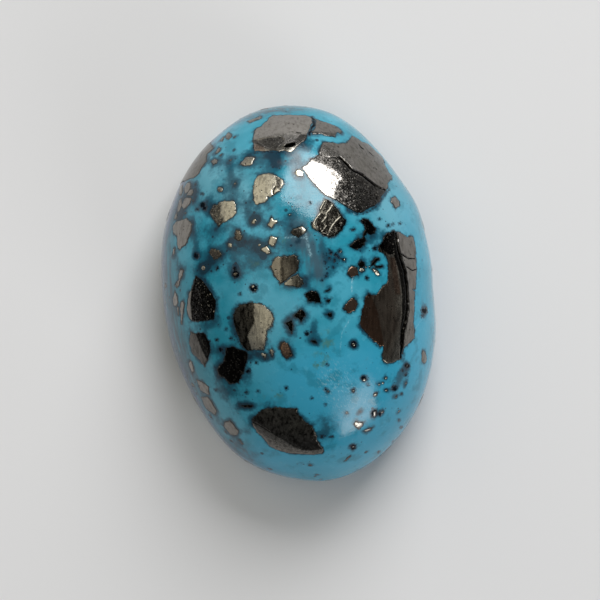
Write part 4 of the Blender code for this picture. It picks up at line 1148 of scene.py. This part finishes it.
height = add(tree, "Math", {0: shaded_pit, 1: -1.0, 2: noises["fine"]}, operation="MULTIPLY_ADD")[0]
bump = add(tree, "Bump", {"Height": height, "Strength": 0.4, "Distance": 0.01 * MM})[0]
tilt = add(tree, "VectorMath", {0: facets["Color"], 1: (0.5, 0.5, 0.5)}, operation="SUBTRACT")[0]
lean_by = add(tree, "MapRange", {"Value": layers["granular"], 1: 0.0, 2: 1.0, 3: 0.0, 4: 0.9})[0]
tilt = add(tree, "VectorMath", {0: tilt, "Scale": lean_by}, operation="SCALE")[0]
normal = add(tree, "VectorMath", {0: bump, 1: tilt}, operation="ADD")[0]
normal = add(tree, "VectorMath", {0: normal}, operation="NORMALIZE")[0]
tree.links.new(normal, shader.inputs["Normal"])
print("pyrite has", len(tree.nodes), "nodes")


# %% [markdown]
# ## Relief and tarnish of each crystal
#
# A crystal's surface isn't one clean mirror. Fissures run through it, growth ridges stand up,
# a corner has crumbled, and one face is dark while its neighbour stays bright, partly from
# tarnish and partly as painted shade. Each of these is listed by place: lines with a width and a
# depth, and outlines with an amount.

# %% Fissures, ridges and hollows
CRACKS = {  # line, half width, depth
    "shoulder": (
        (((3.1, 8.62), (3.5, 8.56), (3.93, 8.52)), 0.03, 0.04),
        (((3.93, 8.52), (4.19, 8.18), (4.4, 7.93), (4.45, 7.77), (4.71, 7.51), (5.01, 7.33),
          (5.27, 7.12), (5.45, 6.9), (5.71, 6.64), (5.93, 6.38)), 0.075, 0.22),
        (((5.93, 6.38), (6.23, 6.16), (6.53, 5.99), (6.8, 5.86)), 0.045, 0.14),
        (((5.3, 9.2), (5.4, 9.0), (5.55, 8.85)), 0.03, 0.03),
        (((5.9, 8.6), (6.1, 8.35)), 0.03, 0.03),
    ),
    "flank": (
        (((6.9, 3.1), (6.87, 2.0), (6.95, 1.3), (7.08, 0.5), (7.07, -0.5), (7.02, -1.2), (6.9, -2.0),
          (6.7, -2.7), (6.4, -3.3), (6.25, -3.9), (6.15, -4.5), (6.05, -5.1)), 0.1, 0.16),
        (((7.05, 1.6), (7.4, 1.3), (7.85, 1.2)), 0.04, 0.08),
        (((7.25, 0.75), (7.6, 0.45), (7.9, 0.5)), 0.04, 0.08),
    ),
    "crown": ((((1.35, 10.55), (1.6, 10.48)), 0.035, 0.0),),
    "rim_band": ((((-5.2, 9.8), (-4.95, 10.2)), 0.02, 0.01),),
    "leaf": ((((-4.3, -7.85), (-3.6, -8.4), (-3.2, -8.75)), 0.03, 0.06),),
    "star": ((((-0.75, 6.7), (-0.7, 7.0), (-0.5, 7.2)), 0.04, 0.08),),
}
# Ridges are partly painted highlight: they keep less of the tarnish and painted shade, so they stand
# out as light lines.
RIDGES = {  # line, half width, height, how much of the tarnish stays on it
    "ridged": (
        (((2.5, 5.8), (2.15, 5.3), (1.9, 4.95), (1.6, 4.45), (1.72, 4.05)), 0.12, 0.07, 0.3),
        (((3.05, 5.5), (2.75, 5.15), (2.55, 5.0), (2.5, 4.75), (2.2, 4.45)), 0.05, 0.03, 0.82),
        (((3.4, 4.6), (3.1, 4.4), (2.8, 4.1), (2.6, 3.85), (2.4, 3.5)), 0.05, 0.03, 0.82),
        (((2.4, 4.15), (2.0, 3.75), (2.3, 3.65)), 0.045, 0.03, 0.85),
        (((2.6, 3.8), (2.88, 3.5)), 0.045, 0.03, 0.85),
    ),
}
HOLLOWS = {  # outline, depth
    "crown": (
        (((0.35, 9.75), (0.6, 9.87), (1.1, 9.92), (1.18, 9.75), (0.9, 9.65), (0.6, 9.65)), 0.3),
        (((-1.5, 10.45), (-0.6, 10.55), (0.3, 10.5), (0.55, 10.2), (0.35, 9.75), (0.5, 9.55),
          (-0.5, 9.68), (-0.95, 9.98), (-1.1, 10.15)), 0.025),
    ),
}
# Faces that more than one table names.
CROWN_BROKEN = ((-1.5, 10.45), (-0.6, 10.55), (0.3, 10.5), (0.55, 10.2), (0.5, 9.5), (-0.95, 9.9))
FLANK_HEAD = ((5.7, 2.3), (6.0, 3.3), (6.95, 3.3), (6.9, 2.0), (6.6, 1.6), (6.1, 1.7))
LEFT_DARK_FACE = ((-7.1, 2.2), (-7.0, 1.2), (-7.2, 0.4), (-7.25, -1.2), (-5.0, -1.2), (-5.0, 2.5))
LEFT_CREAM_FACE = ((-5.4, 6.0), (-4.4, 6.9), (-4.25, 6.6), (-4.35, 6.0), (-4.15, 5.3), (-4.7, 5.0))
SHOULDER_DARK = (
    (1.9, 8.68), (2.4, 8.85), (2.65, 9.0), (3.1, 8.66), (3.93, 8.56), (4.45, 7.85), (5.45, 6.98),
    (6.7, 5.95), (6.4, 5.3), (5.3, 4.7), (4.5, 4.5), (3.95, 4.95), (3.3, 5.6), (3.15, 6.0),
    (3.35, 6.5), (3.6, 6.9), (3.85, 7.1), (3.8, 7.4), (3.2, 7.9), (2.6, 8.3), (2.0, 8.6),
)
ROUGH_ZONES = {  # outline of a broken, granular part, and how rough it is in mm
    "crown": ((CROWN_BROKEN, 0.006),),
    "shoulder": ((SHOULDER_DARK, 0.006),),
}
GRANULAR = 0.0012  # the least roughness of any plate, mm
print(sum(len(lines) for lines in CRACKS.values()), "fissures")

# %% Tarnish and painted shade, crust and rust
BRIGHT_METAL = (0.0, 0.0, 0.04)
# The first amount is tarnish and painted shade together.
EVEN = {  # how tarnished, rusty and granular a crystal is all over, where it isn't bright metal
    "crown_side": (0.28, 0.0, 0.04), "shoulder": (0.0, 0.0, 0.05), "flank": (0.34, 0.0, 0.07),
    "leaf": (0.45, 0.0, 0.08), "ridged": (0.95, 0.0, 0.16), "centre": (0.46, 0.15, 0.04),
    "centre_low": (0.25, 0.0, 0.1), "two_tone": (0.33, 0.0, 0.04), "left_dark": (0.3, 0.0, 0.04),
    "lower_left": (0.62, 0.0, 0.12), "left_rim": (0.15, 0.0, 0.04), "left_low": (0.3, 0.0, 0.04),
    "left_lower": (0.35, 0.0, 0.04), "rim_band": (0.3, 0.0, 0.04), "lower_lens": (0.35, 0.0, 0.04),
}
# Faces painted dark: partly tarnish, partly painted shade where a face would mirror a dark part of the
# room.
TARNISH_AND_SHADE = {  # outline of a tarnished face, how dark, and how soft its edge is in mm
    "crown": (
        (((-1.5, 10.35), (-0.6, 10.5), (0.3, 10.45), (0.5, 10.2), (0.4, 9.9), (0.9, 9.5), (0.4, 9.4),
          (-0.5, 9.6), (-0.95, 9.98), (-1.35, 10.2)), 0.62, 0.12),
        (((0.3, 9.75), (0.6, 9.93), (1.15, 9.98), (1.2, 9.78), (0.9, 9.66), (0.55, 9.68)), 1.0, 0.03),
        (((-1.6, 10.5), (-1.3, 10.45), (-0.8, 9.95), (-1.0, 9.9), (-1.5, 10.25)), 0.7, 0.1),
        (((1.0, 9.55), (1.2, 10.1), (1.6, 10.4), (2.2, 10.3), (1.8, 9.7), (1.2, 9.4)), 0.7, 0.08),
    ),
    "crown_side": (
        (((2.2, 10.48), (2.8, 10.4), (3.4, 10.3), (3.9, 10.12), (3.6, 9.8), (2.2, 10.0)), 0.6, 0.06),
    ),
    "shoulder": (
        (((2.3, 9.0), (3.0, 10), (5.0, 10.5), (7.5, 8.0), (7.5, 6.0), (6.5, 6.0), (3.9, 8.5),
          (3.1, 8.6)), 0.38, 0.15),
        (SHOULDER_DARK, 0.8, 0.14),
    ),
    "flank": (
        (((6.95, 3.3), (6.9, 2.0), (7.0, 1.3), (7.15, 0.5), (7.15, -0.5), (7.1, -1.2), (7.0, -2.0),
          (6.85, -2.8), (6.6, -3.5), (6.4, -4.1), (6.2, -4.8), (6.1, -5.6), (4.0, -6.0), (3.0, -3.0),
          (4.0, 0.0), (5.0, 3.0)), 0.66, 0.04),
        (FLANK_HEAD, 1.0, 0.15),
        (((6.98, 3.3), (6.98, 2.0), (7.05, 1.3), (7.18, 0.5), (7.18, -0.5), (7.1, -1.2), (7.0, -2.0),
          (6.8, -2.8), (6.5, -3.5), (6.35, -4.1), (6.25, -4.6), (6.0, -4.3), (6.2, -3.3), (6.45, -2.4),
          (6.65, -1.0), (6.68, 0.5), (6.5, 1.5), (6.5, 3.3)), 1.05, 0.1),
    ),
    "leaf": (
        (((-4.5, -7.6), (-4.0, -8.1), (-3.6, -8.4), (-3.2, -8.75), (-2.9, -9.05), (-2.5, -9.3),
          (-2.2, -9.6), (-1.8, -9.95), (-1.4, -10.15), (-1.0, -10.3), (-0.2, -10.35), (0.5, -10.3),
          (0.5, -7.0), (-4.0, -6.8)), 0.85, 0.05),
    ),
    "star": (
        (((-0.45, 7.9), (-0.12, 7.8), (0.02, 7.5), (-0.1, 7.1), (-0.3, 6.85), (-0.45, 7.1)), 0.8, 0.08),
    ),
    "left_cream": ((LEFT_CREAM_FACE, 0.75, 0.15),),
    "centre": (
        (((-0.9, 2.8), (-0.95, 2.0), (-1.12, 1.5), (-1.1, 0.8), (0.5, 0.8), (0.6, 2.8)), 0.78, 0.06),
    ),
    "centre_low": ((((-0.4, 0.4), (-0.35, 1.3), (0.6, 1.4), (0.6, 0.2)), 0.75, 0.05),),
    "two_tone": (
        (((-5.0, 0.2), (-3.0, 0.1), (-3.05, -0.5), (-3.1, -0.8), (-3.15, -1.2), (-3.2, -1.5),
          (-3.4, -1.7), (-3.6, -2.0), (-3.75, -2.3), (-3.7, -2.5), (-3.65, -2.9), (-3.6, -3.4),
          (-5.0, -3.4)), 0.9, 0.03),
    ),
    "left_dark": ((LEFT_DARK_FACE, 1.0, 0.04),),
    "lower_left": (
        (((-7.2, -1.3), (-7.05, -2.0), (-6.95, -2.4), (-6.85, -2.8), (-6.7, -3.3), (-6.0, -4.0),
          (-6.0, -1.3)), 0.97, 0.03),
    ),
    "half_lit": ((((-0.2, 3.4), (0.65, 3.5), (0.8, 4.1), (0.6, 4.6), (-0.2, 4.6)), 0.85, 0.12),),
}
GRAINY = {  # outline of a crust of tiny facets, how strong, and how soft its edge is in mm
    "crown": ((CROWN_BROKEN, 0.12, 0.2),),
    "shoulder": (
        (SHOULDER_DARK, 0.3, 0.3),
        (((1.5, 8.9), (2.6, 9.1), (3.9, 8.2), (4.1, 7.0), (3.2, 5.5), (1.5, 7.0)), 0.15, 0.2),
    ),
    "flank": (
        (FLANK_HEAD, 0.25, 0.15),
        (((4.0, -2.0), (4.5, -0.5), (5.5, -0.2), (5.6, -0.5), (4.6, -1.2), (4.2, -2.2)), 0.3, 0.15),
    ),
    "left_dark": ((LEFT_DARK_FACE, 0.5, 0.1),),
    "left_cream": ((LEFT_CREAM_FACE, 0.5, 0.15),),
}
RUST = {  # outline, how rusty, and how soft its edge is in mm
    "crown": ((((-1.7, 10.2), (-1.3, 10.15), (-0.9, 9.9), (-0.9, 9.5), (-1.7, 9.5)), 0.35, 0.1),),
    "flank": (
        (((3.0, -0.4), (5.5, 0.4), (6.4, 0.5), (6.2, -3.0), (5.2, -5.0), (4.0, -4.0)), 0.5, 0.6),
        (((3.0, -0.4), (4.6, -0.2), (5.0, -2.0), (5.1, -4.5), (3.5, -4.5)), 0.9, 0.2),
        (((6.2, 1.5), (6.6, 1.5), (6.6, -1.0), (6.2, -1.0)), 0.75, 0.15),
    ),
}
print(len(TARNISH_AND_SHADE), "crystals have darker faces,", len(RUST), "have rusty ones")

# %% The relief at a place
HOLLOW_WALL = 0.08  # mm across the wall of a hollow
WANDER = 3.7  # the sides of a fissure wander this often in a mm
CRUMBLE = ((9, 3.1), (23, 7.7))  # coarse and fine grit: how often in a mm, and its seed


def zone(x, y, outline, amount, soft):
    """An amount inside an outline, fading out across its edge."""
    return amount * np.clip(inward(x, y, outline) / soft + 0.5, 0, 1)


def crack_share(x, y, line, half_width):
    """How near places are to the middle of a crack whose sides wander: 1 in it, 0 outside."""
    away = along(x, y, line)
    wander = [noise.noise(Vector((a * WANDER, b * WANDER, 1.3))) for a, b in zip(x, y)]
    away += 0.35 * half_width * np.array(wander)
    return np.clip(1.6 * (1 - away / half_width), 0, 1)


def relief(name, x, y):
    """How far a crystal's surface is moved at places in plan, in mm."""
    lift = np.zeros(len(x))
    for line, half_width, depth in CRACKS.get(name, ()):
        lift -= depth * crack_share(x, y, line, half_width)
    for line, half_width, height, _ in RIDGES.get(name, ()):
        lift += height * np.maximum(0, 1 - along(x, y, line) / half_width)
    for outline, depth in HOLLOWS.get(name, ()):
        lift -= depth * np.clip(inward(x, y, outline) / HOLLOW_WALL, 0, 1)
    rough = np.full(len(x), GRANULAR)
    for outline, amount in ROUGH_ZONES.get(name, ()):
        rough = np.maximum(rough, zone(x, y, outline, amount, 0.3))
    for often, seed in CRUMBLE:
        grit = [noise.noise(Vector((a * often, b * often, seed))) for a, b in zip(x, y)]
        lift += rough * np.array(grit)
    return lift


fissure = relief("flank", np.array([6.95]), np.array([1.3]))
print("the long fissure is", round(-float(fissure[0]), 2), "mm deep")


# %% [markdown]
# ## Crystal plates
#
# Each plate starts as one face with the crystal's outline. Parallel cuts across it give it
# points to bend with, then it is extruded, its top is set on the dome and its foot deep in the
# pocket. Its edge is a little lower than the middle, as the hard metal wears round there.

# %% From a flat face to a plate
PROUD = 0.02  # the middle of a crystal stands this far off the turquoise, mm
EDGE_DROP = 0.008  # and its edge lies this far below it
WORN_EDGE = 0.03  # how wide the rounding is, mm
RELIEF_FROM = 0.04  # relief is full this far inside the edge, mm
# Painted brightness: crystals high on the dome get a lighter metal colour than those further out, and
# the shoulder gets none.
BRIGHTENED_TO = 0.8  # crystals further out than this share of the stone are less bright
BRIGHTENED_FADE = 0.1
NOT_BRIGHTENED = ("shoulder",)
# Painted shade in the fissures: darkness at the bottom of each, reaching a little wider than it.
FISSURE_SHADE = 1.1  # tarnish at the bottom of a fissure
CRACK_SHADE = 1.5  # the tarnish reaches this much wider than the fissure


def cut_by_grid(bm, outline, spacing):
    """Parallel cuts both ways across a flat face."""
    for axis in (0, 1):
        low = min(p[axis] for p in outline)
        high = max(p[axis] for p in outline)
        count = int((high - low) / spacing)
        across = Vector((1 - axis, axis, 0))
        for line in range(1, count + 1):
            at = across * (low + line * (high - low) / (count + 1))
            bmesh.ops.bisect_plane(
                bm, geom=bm.verts[:] + bm.edges[:] + bm.faces[:], dist=1e-4,
                plane_co=at, plane_no=across,
            )


def face_values(name, table, x, y, least):
    """The strongest of the listed amounts at each place of a crystal."""
    values = np.full(len(x), float(least))
    for outline, amount, soft in table.get(name, ()):
        values = np.maximum(values, zone(x, y, outline, amount, soft))
    return values


def flat_plate(outline, spacing):
    """A flat face with an outline, cut into small parts, and its still empty layers."""
    bm = bmesh.new()
    kept = {key: bm.verts.layers.float.new(key) for key in PLATE_LAYERS}
    corners = [bm.verts.new((x, y, 0)) for x, y in outline]
    bmesh.ops.contextual_create(bm, geom=corners)
    cut_by_grid(bm, outline, spacing)
    bmesh.ops.triangulate(bm, faces=[f for f in bm.faces if len(f.verts) > 4])
    return bm, kept


def make_plate(name, outline, spacing, depth, tarnish_and_shade, rust, grainy):
    """One crystal as a closed plate that follows the dome, with its layers."""
    bm, kept = flat_plate(outline, spacing)
    top = bm.verts[:]
    u, v = np.array([vert.co[:2] for vert in top]).T
    x, y, _ = on_stone(u, v, 0 * u).T
    deep = np.maximum(0, inward(u, v, outline))
    dark = face_values(name, TARNISH_AND_SHADE, x, y, tarnish_and_shade)
    # painted shade along the fissures
    for line, half_width, _ in CRACKS.get(name, ()):
        shade = crack_share(x, y, line, CRACK_SHADE * half_width)
        dark = np.maximum(dark, FISSURE_SHADE * shade)
    # painted highlight: the ridges lose some of the darkness
    for line, half_width, _, stays in RIDGES.get(name, ()):
        dark *= np.clip(along(x, y, line) / half_width - 0.4, stays, 1)
    share = np.hypot(2 * x / WIDTH, 2 * y / LENGTH)
    painted_brightness = np.clip((BRIGHTENED_TO - share) / BRIGHTENED_FADE, 0, 1) * (name not in NOT_BRIGHTENED)
    brown = face_values(name, RUST, x, y, rust)
    crust = face_values(name, GRAINY, x, y, grainy)
    for vert, values in zip(top, zip(dark, brown, crust, painted_brightness, deep)):
        for key, value in zip(PLATE_LAYERS, values):
            vert[kept[key]] = value
    down = bmesh.ops.extrude_face_region(bm, geom=bm.faces[:])["geom"]
    lower = [g for g in down if isinstance(g, bmesh.types.BMVert)]
    lu, lv = np.array([vert.co[:2] for vert in lower]).T
    lift = PROUD - (PROUD + EDGE_DROP) * np.exp(-deep / WORN_EDGE)
    lift += relief(name, x, y) * np.clip(deep / RELIEF_FROM, 0, 1)
    for vert, at in zip(top, on_stone(u, v, lift)):
        vert.co = Vector(at)
    for vert, at in zip(lower, on_stone(lu, lv, np.full(len(lu), -depth))):
        vert.co = Vector(at)
    bmesh.ops.recalc_face_normals(bm, faces=bm.faces)
    return bm


def to_mesh(name, *parts):
    """Joins plates into one mesh, in metres, centred as the solid is."""
    whole = bmesh.new()
    for bm in parts:
        step = bpy.data.meshes.new("step")
        bm.to_mesh(step)
        bm.free()
        whole.from_mesh(step)
        bpy.data.meshes.remove(step)
    bmesh.ops.translate(whole, vec=-Vector(CENTRE), verts=whole.verts)
    bmesh.ops.scale(whole, vec=Vector((MM, MM, MM)), verts=whole.verts)
    data = bpy.data.meshes.new(name)
    whole.to_mesh(data)
    whole.free()
    data.set_sharp_from_angle(angle=math.radians(70))
    return data


# %% The large crystals
CUTS_APART = 0.07  # mm
FINER_CUTS = {"shoulder": 0.055, "flank": 0.055, "crown": 0.045, "ridged": 0.035}
PLATE_DEPTH = 0.7  # mm, deeper than the pocket
for name, outline in LARGE.items():
    spacing = FINER_CUTS.get(name, CUTS_APART)
    plate = make_plate(name, outline, spacing, PLATE_DEPTH, *EVEN.get(name, BRIGHT_METAL))
    piece = add_piece("pyrite_" + name, to_mesh("pyrite_" + name, plate), pyrite)
    print(piece.name, len(piece.data.polygons), "faces")

# %% [markdown]
# ## Small grains
#
# The small grains are made as the plates are, but each kind is joined into one piece, as their
# metal has aged alike: bright ones, two in the star cluster that glint, black ones in deep pits,
# rusty and olive ones, and the scattered ones of the flanks.

# %% Grains by kind
GLINTING = slice(15, 17)  # their places in the table of bright grains
GROUPS = (  # piece, outlines, spacing, depth, tarnish, rust, grainy
    ("pyrite_grains", BRIGHT[: GLINTING.start] + BRIGHT[GLINTING.stop :], 0.1, 0.3, 0.15, 0.0, 0.1),
    ("glinting_grains", BRIGHT[GLINTING], 0.1, 0.3, 0.0, 0.0, 0.9),
    ("dark_grains", DARK, 0.08, 0.7, 1.0, 0.1, 0.15),
    ("rusty_grains", RUSTY, 0.09, 0.3, 0.5, 0.8, 0.15),
    ("olive_grains", OLIVE, 0.09, 0.3, 0.68, 0.25, 0.3),
    ("flank_grains", FLANK, 0.25, 0.3, 0.3, 0.1, 0.1),
)
for name, outlines, spacing, depth, *finish in GROUPS:
    plates = [make_plate("", o, spacing, depth, *finish) for o in outlines]
    piece = add_piece(name, to_mesh(name, *plates), pyrite)
    print(name, len(piece.data.polygons), "faces")

# %% [markdown]
# ## Grains of the back
#
# The back lies flat, so its grains need no bending. Each is the same cut face, extruded up into
# the stone. The ground side is a little duller than the dome, as it was never buffed.

# %% Flat grains, raised into the stone
BACK_CUTS_APART = 0.22  # mm
BACK_DEPTH = 0.3  # mm
BACK_FINISH = {"tarnish_and_shade": 0.35, "rust": 0.25, "granular": 0.1}
back_plates = []
for outline in BACK:
    bm, kept = flat_plate(outline, BACK_CUTS_APART)
    x, y = np.array([vert.co[:2] for vert in bm.verts]).T
    for vert, deep in zip(bm.verts[:], np.maximum(0, inward(x, y, outline))):
        for key, value in BACK_FINISH.items():
            vert[kept[key]] = value
        vert[kept["plate_edge"]] = deep
        vert.co.z = EDGE_DROP * math.exp(-deep / WORN_EDGE)
    raised = bmesh.ops.extrude_face_region(bm, geom=bm.faces[:])["geom"]
    for vert in [g for g in raised if isinstance(g, bmesh.types.BMVert)]:
        vert.co.z = BACK_DEPTH
    bmesh.ops.recalc_face_normals(bm, faces=bm.faces)
    back_plates.append(bm)
piece = add_piece("back_grains", to_mesh("back_grains", *back_plates), pyrite)
print("back_grains", len(piece.data.polygons), "faces")

# %% [markdown]
# ## The floor
#
# A plain pale table, lit by the same lamps. The steep flanks of the stone mirror it.

# %% Floor
HALF_SPAN = 1.5  # metres
BELOW_STONE = 0.02 * MM  # a hair's gap, so that the two surfaces don't coincide
floor_bm = bmesh.new()
bmesh.ops.create_grid(floor_bm, x_segments=1, y_segments=1, size=HALF_SPAN)
floor_data = bpy.data.meshes.new("floor")
floor_bm.to_mesh(floor_data)
floor_bm.free()
# A painted table board: matt, so it gives the stone light from below but no mirror image.
floor_mat, tree, shader = new_material("matt white table")
shader.inputs["Base Color"].default_value = (0.69, 0.69, 0.70, 1.0)
shader.inputs["Roughness"].default_value = 0.9
floor_data.materials.append(floor_mat)
floor = bpy.data.objects.new("floor", floor_data)
floor.location.z = -BELOW_STONE
bpy.context.scene.collection.objects.link(floor)
floor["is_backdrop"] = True

# %% Sizes and the end
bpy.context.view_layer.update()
triangles = sum(len(p.vertices) - 2 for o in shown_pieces() for p in o.data.polygons)
print("triangles:", triangles)
